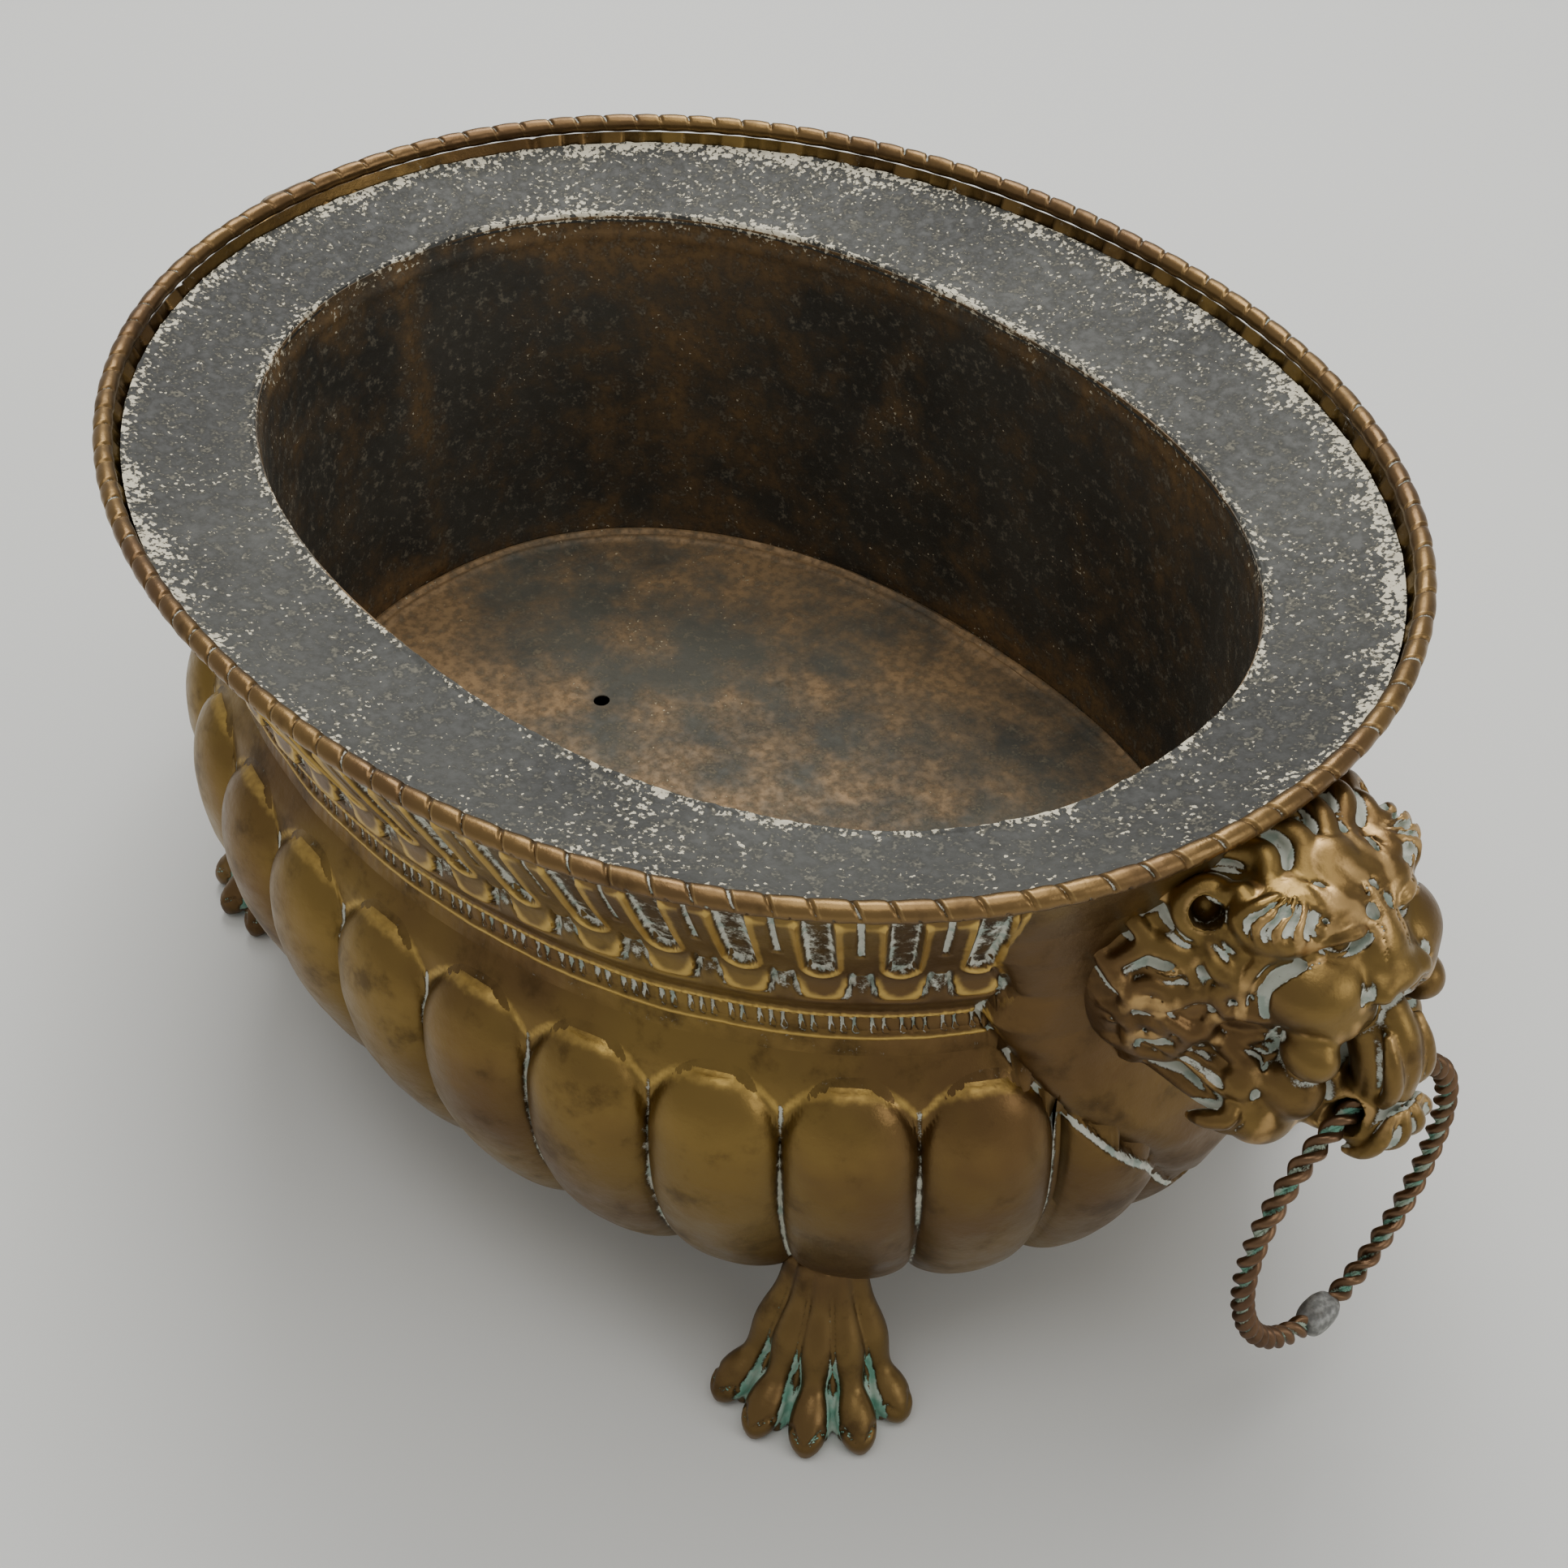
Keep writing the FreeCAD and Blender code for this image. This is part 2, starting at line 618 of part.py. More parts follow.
def right_lion_mask(envelope):
    """A hollow casting with a through mouth for the ring, and two studs behind its mane."""
    shell = cut("head_shell", head_masses(), head_hollow())
    studs, pillars = [], []
    for side in (-1, 1):
        across = f"{side} * dims.boss_spread"
        pillars.append(cylinder(f"boss_{side + 2}", "dims.boss_radius",
                                "dims.mane_depth - dims.mask_wall / 2",
                                ("dims.mane_back", across, "dims.mane_height"), FORWARD))
        studs.append(cylinder(f"stud_{side + 2}", "dims.stud_radius",
                              "dims.mane_back + dims.mane_depth - dims.mask_wall - dims.stud_inner",
                              ("dims.stud_inner", across, "dims.mane_height"), FORWARD))
    bossed = fused("head_bossed", [shell] + pillars)
    cleared = cut("head_cleared", bossed, mouth_room())
    seated = cut("head_seated", cleared, envelope)
    trimmed = cut("head_trimmed", seated, round_rod("rim_room", RIM, "dims.bead_radius + 0.1"))
    return fused("right_lion_mask", [trimmed] + studs)


def right_mask_nuts():
    """A hexagon nut on each stud, inside the end panel."""
    nuts = []
    for side in (-1, 1):
        spot = {"Placement.Base.x": "dims.nut_outer - dims.nut_thick",
                "Placement.Base.y": f"{side} * dims.boss_spread",
                "Placement.Base.z": "dims.mane_height"}
        blank = feature("Part::Prism", f"nut_blank_{side + 2}",
                        {"Circumradius": "dims.nut_radius", "Height": "dims.nut_thick", **spot},
                        Polygon=6)
        blank.Placement.Rotation = FORWARD
        bore = feature("Part::Cylinder", f"nut_bore_{side + 2}",
                       {"Radius": "dims.stud_radius + 0.02", "Height": "dims.nut_thick", **spot})
        bore.Placement.Rotation = FORWARD
        nuts.append(cut(f"nut_{side + 2}", blank, bore))
    return feature("Part::Compound", "right_mask_nuts", Links=nuts)


# ---------------------------------------------------------------------------------------------
# Paws
# ---------------------------------------------------------------------------------------------
TOES = 5


def front_right_paw(envelope):
    """A flared, hollow casting that leans out, with five toes, cut to sit under the belly."""
    facing = -size("paw_angle")
    across = V(-math.sin(math.radians(facing)), math.cos(math.radians(facing)), 0)
    lean = FreeCAD.Rotation(across, -size("paw_tilt"))
    cones = []
    for name, less in (("paw_flare", ""), ("paw_hollow", " - dims.paw_wall")):
        cone = feature("Part::Cone", name,
                       {"Radius1": f"dims.paw_foot_radius{less}", "Height": f"dims.paw_height{less}",
                        "Radius2": f"dims.paw_top_radius{less}", "Placement.Base.x": "dims.paw_x",
                        "Placement.Base.y": "-1 * dims.paw_y",
                        "Placement.Base.z": "-1 * dims.paw_sink"})
        cone.Placement.Rotation = lean
        cones.append(cone)
    flare, hollow = cones
    parts = [flare]
    for i in range(TOES):
        angle = facing + size("toe_step") * (i - (TOES - 1) / 2)
        centre = (f"dims.paw_x + dims.toe_spread * cos({angle} deg)",
                  f"-1 * dims.paw_y + dims.toe_spread * sin({angle} deg)",
                  "dims.toe_height")
        parts.append(sphere(f"toe_{i + 1}", "dims.toe_radius", centre))
    flared = fused("paw_flared", parts)
    shell = cut("paw_shell", flared, hollow)
    below = feature("Part::Box", "paw_floor",
                    {"Length": "4 * dims.paw_foot_radius", "Width": "4 * dims.paw_foot_radius",
                     "Height": "dims.paw_foot_radius",
                     "Placement.Base.x": "dims.paw_x - 2 * dims.paw_foot_radius",
                     "Placement.Base.y": "-1 * dims.paw_y - 2 * dims.paw_foot_radius",
                     "Placement.Base.z": "-1 * dims.paw_foot_radius"})
    level = cut("paw_level", shell, below)
    return cut("paw_front_right", level, envelope)


# ---------------------------------------------------------------------------------------------
# The assembly
# ---------------------------------------------------------------------------------------------
FRONT_OUTSIDE, FRONT = front_panel()
END_OUTSIDE, RIGHT_END = right_end_panel()
REAR = mirrored("rear_panel", FRONT, V(0, 1, 0))
LEFT_END = mirrored("left_end_panel", RIGHT_END, V(1, 0, 0))
BEAD, WIRE = rim_pieces()
BASE = base_plate()

REAR_OUTSIDE = mirrored("rear_outside", FRONT_OUTSIDE, V(0, 1, 0))
END_ROOM = fused("end_room", [END_OUTSIDE, FRONT_OUTSIDE, REAR_OUTSIDE])
RIGHT_MASK = right_lion_mask(END_ROOM)
LEFT_MASK = mirrored("left_lion_mask", RIGHT_MASK, V(1, 0, 0))
RIGHT_NUTS = right_mask_nuts()
LEFT_NUTS = mirrored("left_mask_nuts", RIGHT_NUTS, V(1, 0, 0))

PAW_ROOM = fused("paw_room", [FRONT_OUTSIDE, END_OUTSIDE])
PAW_FRONT_RIGHT = front_right_paw(PAW_ROOM)
PAW_FRONT_LEFT = mirrored("paw_front_left", PAW_FRONT_RIGHT, V(1, 0, 0))
PAW_REAR_RIGHT = mirrored("paw_rear_right", PAW_FRONT_RIGHT, V(0, 1, 0))
PAW_REAR_LEFT = mirrored("paw_rear_left", PAW_FRONT_LEFT, V(0, 1, 0))

RIGHT_RING = right_ring()
RIGHT_JOINT = right_ring_joint(RIGHT_RING)
LEFT_RING = mirrored("left_ring", RIGHT_RING, V(1, 0, 0))
LEFT_JOINT = mirrored("left_ring_joint", RIGHT_JOINT, V(1, 0, 0))

NODES = [FRONT, REAR, RIGHT_END, LEFT_END, BEAD, WIRE, BASE, RIGHT_MASK, LEFT_MASK, RIGHT_NUTS,
         LEFT_NUTS, PAW_FRONT_RIGHT, PAW_FRONT_LEFT, PAW_REAR_RIGHT, PAW_REAR_LEFT, RIGHT_RING,
         RIGHT_JOINT, LEFT_RING, LEFT_JOINT, liner_wall(), liner_bottom(), liner_flange()]

NODE_NAMES = ["front_panel", "rear_panel", "right_end_panel", "left_end_panel", "rim_bead",
              "rim_wire", "base_plate", "right_lion_mask", "left_lion_mask", "right_mask_nuts",
              "left_mask_nuts", "paw_front_right", "paw_front_left", "paw_rear_right",
              "paw_rear_left", "right_ring", "right_ring_joint", "left_ring", "left_ring_joint",
              "liner_wall", "liner_bottom", "liner_flange"]

DOC.recompute()

for thing in DOC.Objects:
    bad = {"Invalid", "Error"} & set(thing.State)
    if bad:
        raise RuntimeError(f"{thing.Name} is {thing.State}")

os.makedirs("parts", exist_ok=True)
for thing, label in zip(NODES, NODE_NAMES):
    thing.Label = label
    shape = thing.Shape
    if shape.isNull() or not shape.isValid():
        raise RuntimeError(f"{label} has no valid shape")
    box = shape.optimalBoundingBox()
    print(f"{label:18s} solids {len(shape.Solids)}  {shape.Volume / 1000:8.2f} cm3  "
          f"x {box.XMin:.1f} {box.XMax:.1f}  y {box.YMin:.1f} {box.YMax:.1f}  "
          f"z {box.ZMin:.1f} {box.ZMax:.1f}")
    shape.exportStep(f"parts/{label}.step")
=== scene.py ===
"""The look of the oval brass planter: skins, castings, rings, liner, materials and studio."""
import itertools
import math

import bpy
import numpy as np
from mathutils import Matrix, Vector


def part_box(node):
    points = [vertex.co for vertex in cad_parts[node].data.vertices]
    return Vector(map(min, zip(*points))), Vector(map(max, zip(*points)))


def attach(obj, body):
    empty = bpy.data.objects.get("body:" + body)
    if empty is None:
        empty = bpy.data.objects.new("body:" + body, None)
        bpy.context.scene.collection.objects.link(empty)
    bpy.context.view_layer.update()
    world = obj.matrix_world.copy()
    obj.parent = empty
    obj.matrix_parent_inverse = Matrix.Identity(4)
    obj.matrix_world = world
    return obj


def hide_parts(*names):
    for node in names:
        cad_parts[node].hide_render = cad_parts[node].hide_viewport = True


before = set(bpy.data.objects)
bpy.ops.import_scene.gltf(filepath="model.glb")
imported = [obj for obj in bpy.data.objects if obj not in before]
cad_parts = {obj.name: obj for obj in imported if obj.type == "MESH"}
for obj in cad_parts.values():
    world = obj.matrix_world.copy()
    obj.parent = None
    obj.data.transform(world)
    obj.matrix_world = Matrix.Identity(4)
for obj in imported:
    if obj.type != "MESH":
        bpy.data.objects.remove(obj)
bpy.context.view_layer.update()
MM = 0.001
CREASE = math.radians(65)

# ---- Sizes, in millimetres. Places come from the CAD nodes' boxes. ----


def box_mm(node):
    """A CAD node's lowest and highest corner, in millimetres."""
    low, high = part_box(node)
    return np.array(low) / MM, np.array(high) / MM


BEAD_LOW, BEAD_HIGH = box_mm("rim_bead")
BEAD_RADIUS = (BEAD_HIGH[2] - BEAD_LOW[2]) / 2
RIM_A = BEAD_HIGH[0] - BEAD_RADIUS
RIM_B = BEAD_HIGH[1] - BEAD_RADIUS
RIM_Z = BEAD_HIGH[2] - BEAD_RADIUS
RIM_POWER = 2.09
SHEET = 1.0
LOBES_PER_SIDE = 12
LOBE_PITCH = 42.2
PANEL_HALF = LOBES_PER_SIDE * LOBE_PITCH / 2
FRIEZE_PITCH = 22.7


# ---- Shapes in numbers ----
class Oval:
    """A superellipse about the Z axis. Lengths along it start at the front and grow towards +X."""

    def __init__(self, half_length, half_width, power, count=7200):
        turn = np.linspace(0, 2 * math.pi, count + 1)
        sine, cosine = np.sin(turn), np.cos(turn)
        reach = (abs(sine / half_length) ** power + abs(cosine / half_width) ** power) ** (-1 / power)
        self.x, self.y = reach * sine, -reach * cosine
        steps = np.hypot(np.diff(self.x), np.diff(self.y))
        self.lengths = np.concatenate([[0], np.cumsum(steps)])
        self.turn = turn
        self.perimeter = self.lengths[-1]
        slope_x = np.sign(self.x) * abs(self.x / half_length) ** (power - 1) / half_length
        slope_y = np.sign(self.y) * abs(self.y / half_width) ** (power - 1) / half_width
        size = np.hypot(slope_x, slope_y)
        self.nx, self.ny = slope_x / size, slope_y / size

    def at(self, along):
        """Place and outward normal at these lengths along the line."""
        along = np.mod(along, self.perimeter)
        return [np.interp(along, self.lengths, v) for v in (self.x, self.y, self.nx, self.ny)]

    def by_turn(self, turn):
        """Place at these angles about the Z axis."""
        turn = np.mod(turn, 2 * math.pi)
        return np.interp(turn, self.turn, self.x), np.interp(turn, self.turn, self.y)


RIM = Oval(RIM_A, RIM_B, RIM_POWER)
QUARTER = RIM.perimeter / 4


def smoothstep(t):
    t = np.clip(t, 0, 1)
    return t * t * (3 - 2 * t)


def bell(t):
    return np.exp(-t * t)


def nearest(value, pitch):
    """Signed distance from the nearest multiple of pitch."""
    return np.mod(value + pitch / 2, pitch) - pitch / 2


def lattice_noise(points, size, seed):
    """Smooth random values from -1 to 1, with features of this size in millimetres."""
    table = np.random.default_rng(seed).uniform(-1, 1, 4096)
    scaled = points / size
    cell = np.floor(scaled).astype(np.int64)
    t = scaled - cell
    t = t * t * (3 - 2 * t)
    total = np.zeros(points.shape[:-1])
    for corner in itertools.product((0, 1), repeat=3):
        c = cell + np.array(corner)
        index = (c[..., 0] * 73856093 ^ c[..., 1] * 19349663 ^ c[..., 2] * 83492791) % 4096
        weight = np.prod(np.where(np.array(corner) == 1, t, 1 - t), axis=-1)
        total += table[index] * weight
    return total


def spline(points, spacing):
    """A smooth line through the points, resampled at about this spacing."""
    p = np.array(points, float)
    chord = np.linalg.norm(np.diff(p, axis=0), axis=1)
    knots = np.concatenate([[0], np.cumsum(chord)])
    slopes = np.gradient(p, knots, axis=0)
    fine = np.linspace(0, knots[-1], int(knots[-1] * 20))
    i = np.clip(np.searchsorted(knots, fine, side="right") - 1, 0, len(chord) - 1)
    h = chord[i][:, None]
    t = ((fine - knots[i]) / chord[i])[:, None]
    curve = (p[i] * (2 * t**3 - 3 * t**2 + 1) + h * slopes[i] * (t**3 - 2 * t**2 + t)
             + p[i + 1] * (3 * t**2 - 2 * t**3) + h * slopes[i + 1] * (t**3 - t**2))
    run = np.concatenate([[0], np.cumsum(np.linalg.norm(np.diff(curve, axis=0), axis=1))])
    even = np.linspace(0, run[-1], max(2, round(run[-1] / spacing) + 1))
    return np.stack([np.interp(even, run, curve[:, k]) for k in range(p.shape[1])], axis=1)


def blurred(values, reach):
    """Box-blurred three times along both axes of a grid."""
    for axis in (0, 1):
        for _ in range(3):
            pad = [(0, 0), (0, 0)]
            pad[axis] = (reach + 1, reach)
            total = np.cumsum(np.pad(values, pad, mode="edge"), axis=axis)
            size = values.shape[axis]
            upper = np.take(total, np.arange(size) + 2 * reach + 1, axis=axis)
            lower = np.take(total, np.arange(size), axis=axis)
            values = (upper - lower) / (2 * reach + 1)
    return values


# ---- Meshes ----
def make_piece(name, points, faces, marks, material, body, nodes):
    """One finished object: a mesh in the row frame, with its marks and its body."""
    mesh = bpy.data.meshes.new(name)
    mesh.from_pydata((np.asarray(points, float) * MM).tolist(), [], faces)
    mesh.update()
    for mark, values in marks.items():
        layer = mesh.attributes.new(mark, "FLOAT", "POINT")
        layer.data.foreach_set("value", np.ascontiguousarray(values, np.float32).ravel())
    mesh.polygons.foreach_set("use_smooth", [True] * len(mesh.polygons))
    mesh.set_sharp_from_angle(angle=CREASE)
    mesh.materials.append(material)
    piece = bpy.data.objects.new(name, mesh)
    bpy.context.scene.collection.objects.link(piece)
    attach(piece, body)
    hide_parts(*nodes)
    return piece


def grid_faces(rows, columns, start=0, wrap=False, flip=False):
    """Quads over a grid of points numbered row by row."""
    i = np.arange(rows - 1)[:, None]
    j = np.arange(columns if wrap else columns - 1)[None, :]
    k = (j + 1) % columns
    here, below = i * columns, (i + 1) * columns
    quads = np.stack([here + j, here + k, below + k, below + j], axis=-1)
    quads = quads.reshape(-1, 4) + start
    return quads[:, ::-1] if flip else quads


def turned_over(faces):
    """The faces, seen from the other side."""
    return [face[::-1] for face in faces]


def tube_faces(count, around, start=0):
    """Quads round a closed tube of rings."""
    last = start + (count - 1) * around
    faces = grid_faces(count, around, start, wrap=True).tolist()
    for j in range(around):
        k = (j + 1) % around
        faces.append([last + j, last + k, start + k, start + j])
    return faces


def thinned(rows, step):
    """Every so many rows of a grid, and always the last one."""
    return rows[np.unique(np.concatenate([np.arange(0, len(rows), step), [len(rows) - 1]]))]


def with_back(marks, back, quiet=None):
    """Marks for a shell: the shown grid's values, then a plain value over the back grid."""
    quiet = quiet or {}
    plain = np.ones(back.shape[:2])
    return {mark: np.concatenate([values.ravel(), (quiet.get(mark, 0.0) * plain).ravel()])
            for mark, values in marks.items()}


def shell(outer, inner, wrap):
    """Points and faces of a closed sheet between two grids that share their columns."""
    rows, columns = outer.shape[:2]
    inner_rows = inner.shape[0]
    start = rows * columns
    faces = grid_faces(rows, columns, 0, wrap).tolist()
    faces += grid_faces(inner_rows, columns, start, wrap, flip=True).tolist()
    top_outer, top_inner = 0, start
    low_outer, low_inner = (rows - 1) * columns, start + (inner_rows - 1) * columns
    for j in range(columns if wrap else columns - 1):
        k = (j + 1) % columns
        faces.append([top_inner + j, top_inner + k, top_outer + k, top_outer + j])
        faces.append([low_outer + j, low_outer + k, low_inner + k, low_inner + j])
    if not wrap:
        for j, order in ((0, 1), (columns - 1, -1)):
            loop = [i * columns + j for i in range(rows)]
            loop += [start + i * columns + j for i in reversed(range(inner_rows))]
            faces.append(loop[::order])
    points = np.concatenate([outer.reshape(-1, 3), inner.reshape(-1, 3)])
    return points, faces


# ---- Modelling castings as voxel clay ----
RELAX_PASSES = 2


class Clay:
    """A block of voxels that holds the distance to a surface, in millimetres."""

    def __init__(self, low, high, step):
        self.low, self.step = np.array(low, float), step
        counts = np.ceil((np.array(high) - self.low) / step).astype(int) + 1
        self.field = np.full(counts, 20.0, np.float32)
        self.axes = [self.low[k] + step * np.arange(counts[k]) for k in range(3)]

    def window(self, low, high):
        """The slices of the block inside a box, and the voxels' places there."""
        cuts = []
        for k in range(3):
            a = int(np.clip(np.floor((low[k] - self.low[k]) / self.step), 0, self.field.shape[k]))
            b = int(np.clip(np.ceil((high[k] - self.low[k]) / self.step) + 1, 0, self.field.shape[k]))
            cuts.append(slice(a, b))
        places = np.meshgrid(*[self.axes[k][cuts[k]] for k in range(3)], indexing="ij", sparse=True)
        return tuple(cuts), places

    def merge(self, cuts, shape, blend, carve):
        """Adds a shape to the clay or carves it away, with a soft edge."""
        old = self.field[cuts]
        new = -shape if carve else shape
        sign = -1 if carve else 1
        mix = np.clip(0.5 + sign * 0.5 * (old - new) / blend, 0, 1)
        self.field[cuts] = old * (1 - mix) + new * mix - sign * blend * mix * (1 - mix)

    def blob(self, centre, radii, blend=3.0, carve=False):
        """A ball, or an ellipsoid with three radii."""
        radii = np.broadcast_to(np.array(radii, float), 3)
        centre = np.array(centre, float)
        margin = radii + 2 * blend + 2
        cuts, (x, y, z) = self.window(centre - margin, centre + margin)
        u, v, w = x - centre[0], y - centre[1], z - centre[2]
        k0 = np.sqrt((u / radii[0]) ** 2 + (v / radii[1]) ** 2 + (w / radii[2]) ** 2)
        k1 = np.sqrt((u / radii[0] ** 2) ** 2 + (v / radii[1] ** 2) ** 2 + (w / radii[2] ** 2) ** 2)
        shape = k0 * (k0 - 1) / np.maximum(k1, 1e-6)
        self.merge(cuts, shape.astype(np.float32), blend, carve)

    def strand(self, points, radii, blend=2.0, carve=False):
        """A rounded strand along a smooth line through the points."""
        points = np.array(points, float)
        radii = np.broadcast_to(np.array(radii, float), len(points))
        line = np.column_stack([points, radii])
        if len(points) > 2:
            line = spline(line, 1.6)
        reach = line[:, 3].max() + 2 * blend + 2
        cuts, (x, y, z) = self.window(line[:, :3].min(0) - reach, line[:, :3].max(0) + reach)
        shape = None
        for a, b in zip(line[:-1], line[1:]):
            d = b - a
            u, v, w = x - a[0], y - a[1], z - a[2]
            t = np.clip((u * d[0] + v * d[1] + w * d[2]) / max(d[:3] @ d[:3], 1e-9), 0, 1)
            far = np.sqrt((u - t * d[0]) ** 2 + (v - t * d[1]) ** 2 + (w - t * d[2]) ** 2)
            one = far - (a[3] + t * d[3])
            shape = one if shape is None else np.minimum(shape, one)
        if shape is not None and shape.size:
            self.merge(cuts, shape.astype(np.float32), blend, carve)

    def sample(self, points):
        """The distance at any places, interpolated."""
        g = (points - self.low) / self.step
        g = np.clip(g, 0, np.array(self.field.shape) - 1.001)
        i = g.astype(int)
        t = g - i
        total = 0
        for corner in itertools.product((0, 1), repeat=3):
            c = i + np.array(corner)
            weight = np.prod(np.where(np.array(corner) == 1, t, 1 - t), axis=-1)
            total = total + self.field[c[:, 0], c[:, 1], c[:, 2]] * weight
        return total

    def surface(self):
        """Points and quads of the clay's surface, relaxed a little."""
        f = self.field
        inside = f < 0
        cells = [slice(0, -1), slice(1, None)]
        count = sum(inside[cells[a], cells[b], cells[c]].astype(np.int8)
                    for a, b, c in itertools.product((0, 1), repeat=3))
        active = np.argwhere((count > 0) & (count < 8))
        number = np.full(count.shape, -1, np.int64)
        number[tuple(active.T)] = np.arange(len(active))
        total, hits = np.zeros((len(active), 3)), np.zeros(len(active))
        for axis in range(3):
            others = [k for k in range(3) if k != axis]
            for u, v in itertools.product((0, 1), repeat=2):
                start = np.zeros(3, int)
                start[others[0]], start[others[1]] = u, v
                stop = start.copy()
                stop[axis] = 1
                fa, fb = f[tuple((active + start).T)], f[tuple((active + stop).T)]
                crossing = (fa < 0) != (fb < 0)
                t = np.where(crossing, fa / np.where(crossing, fa - fb, 1), 0)
                place = active + start + t[:, None] * (stop - start)
                total += np.where(crossing[:, None], place, 0)
                hits += crossing
        points = self.low + self.step * total / hits[:, None]
        quads = []
        for axis in range(3):
            one, two = [k for k in range(3) if k != axis]
            near = [slice(1, -1)] * 3
            near[axis] = slice(0, -1)
            far = list(near)
            far[axis] = slice(1, None)
            a, b = inside[tuple(near)], inside[tuple(far)]
            at = np.argwhere(a != b)
            at[:, one] += 1
            at[:, two] += 1
            rising = a[a != b]
            ring = []
            for u, v in ((1, 1), (0, 1), (0, 0), (1, 0)):
                cell = at.copy()
                cell[:, one] -= u
                cell[:, two] -= v
                ring.append(number[tuple(cell.T)])
            quad = np.stack(ring, axis=1)
            swap = rising if axis != 1 else ~rising
            quad[~swap] = quad[~swap][:, ::-1]
            quads.append(quad)
        quads = np.concatenate(quads)
        for _ in range(RELAX_PASSES):
            total, hits = np.zeros_like(points), np.zeros(len(points))
            for k in range(4):
                np.add.at(total, quads[:, k], points[quads[:, (k + 1) % 4]])
                np.add.at(total, quads[:, k], points[quads[:, (k + 3) % 4]])
                np.add.at(hits, quads[:, k], 2)
            points = 0.5 * points + 0.5 * total / hits[:, None]
        return points, quads

    def marks(self, points, reach):
        """How hollow and how proud the surface is at the points, each from 0 to 1."""
        h = self.step
        slope = np.stack([self.sample(points + d) - self.sample(points - d) for d in np.eye(3) * h], axis=1)
        size = np.linalg.norm(slope, axis=1, keepdims=True) + 1e-6
        normal, gradient = slope / size, size[:, 0] / (2 * h)
        hollow, proud = np.zeros(len(points)), np.zeros(len(points))
        for far in reach:
            hollow += 1 - self.sample(points + normal * far) / (far * gradient)
            proud += 1 + self.sample(points - normal * far) / (far * gradient)
        return np.clip(hollow / len(reach), 0, 1), np.clip(proud / len(reach), 0, 1)


def mirrored_points(points, axis):
    out = points.copy()
    out[:, axis] *= -1
    return out


def casting(name, clay_mesh, flips, marks, material, node):
    """A casting from modelled clay, mirrored along the given axes."""
    points, quads = clay_mesh
    for axis in flips:
        points = mirrored_points(points, axis)
    quads = quads[:, ::-1] if len(flips) % 2 else quads
    return make_piece(name, points, quads.tolist(), marks, material, "pot", [node])


# ---- Materials ----
class Paint:
    """A small helper that adds and links shader nodes in one material."""

    def __init__(self, name):
        self.material = bpy.data.materials.new(name)
        self.material.use_nodes = True
        self.tree = self.material.node_tree
        self.shader = self.tree.nodes["Principled BSDF"]
        self.place = self.add("ShaderNodeTexCoord").outputs["Object"]

    def add(self, kind, **settings):
        node = self.tree.nodes.new(kind)
        for key, value in settings.items():
            setattr(node, key, value)
        return node

    def feed(self, socket, value):
        if isinstance(value, bpy.types.NodeSocket):
            self.tree.links.new(value, socket)
        else:
            socket.default_value = value

    def noise(self, scale, detail=3.0, roughness=0.5):
        node = self.add("ShaderNodeTexNoise")
        self.feed(node.inputs["Vector"], self.place)
        self.feed(node.inputs["Scale"], scale)
        self.feed(node.inputs["Detail"], detail)
        self.feed(node.inputs["Roughness"], roughness)
        return node.outputs["Fac"]

    def mark(self, name):
        return self.add("ShaderNodeAttribute", attribute_name=name).outputs["Fac"]

    def math(self, operation, a, b):
        node = self.add("ShaderNodeMath", operation=operation)
        for socket, value in zip(node.inputs, (a, b)):
            self.feed(socket, value)
        return node.outputs[0]

    def spread(self, value, low, high, to_low=0.0, to_high=1.0):
        node = self.add("ShaderNodeMapRange", interpolation_type="SMOOTHSTEP")
        for key, v in (("Value", value), ("From Min", low), ("From Max", high),
                       ("To Min", to_low), ("To Max", to_high)):
            self.feed(node.inputs[key], v)
        return node.outputs["Result"]

    def mix(self, amount, a, b):
        node = self.add("ShaderNodeMix", data_type="RGBA")
        self.feed(node.inputs[0], amount)
        self.feed(node.inputs[6], a if isinstance(a, bpy.types.NodeSocket) else (*a, 1))
        self.feed(node.inputs[7], b if isinstance(b, bpy.types.NodeSocket) else (*b, 1))
        return node.outputs[2]

    def bump(self, height, distance, strength=1.0, after=None):
        node = self.add("ShaderNodeBump")
        self.feed(node.inputs["Height"], height)
        self.feed(node.inputs["Distance"], distance)
        self.feed(node.inputs["Strength"], strength)
        if after is not None:
            self.feed(node.inputs["Normal"], after)
        return node.outputs["Normal"]

    def finish(self, colour, metallic, roughness, normal):
        for key, value in (("Base Color", colour), ("Metallic", metallic),
                           ("Roughness", roughness), ("Normal", normal)):
            self.feed(self.shader.inputs[key], value)
        return self.material


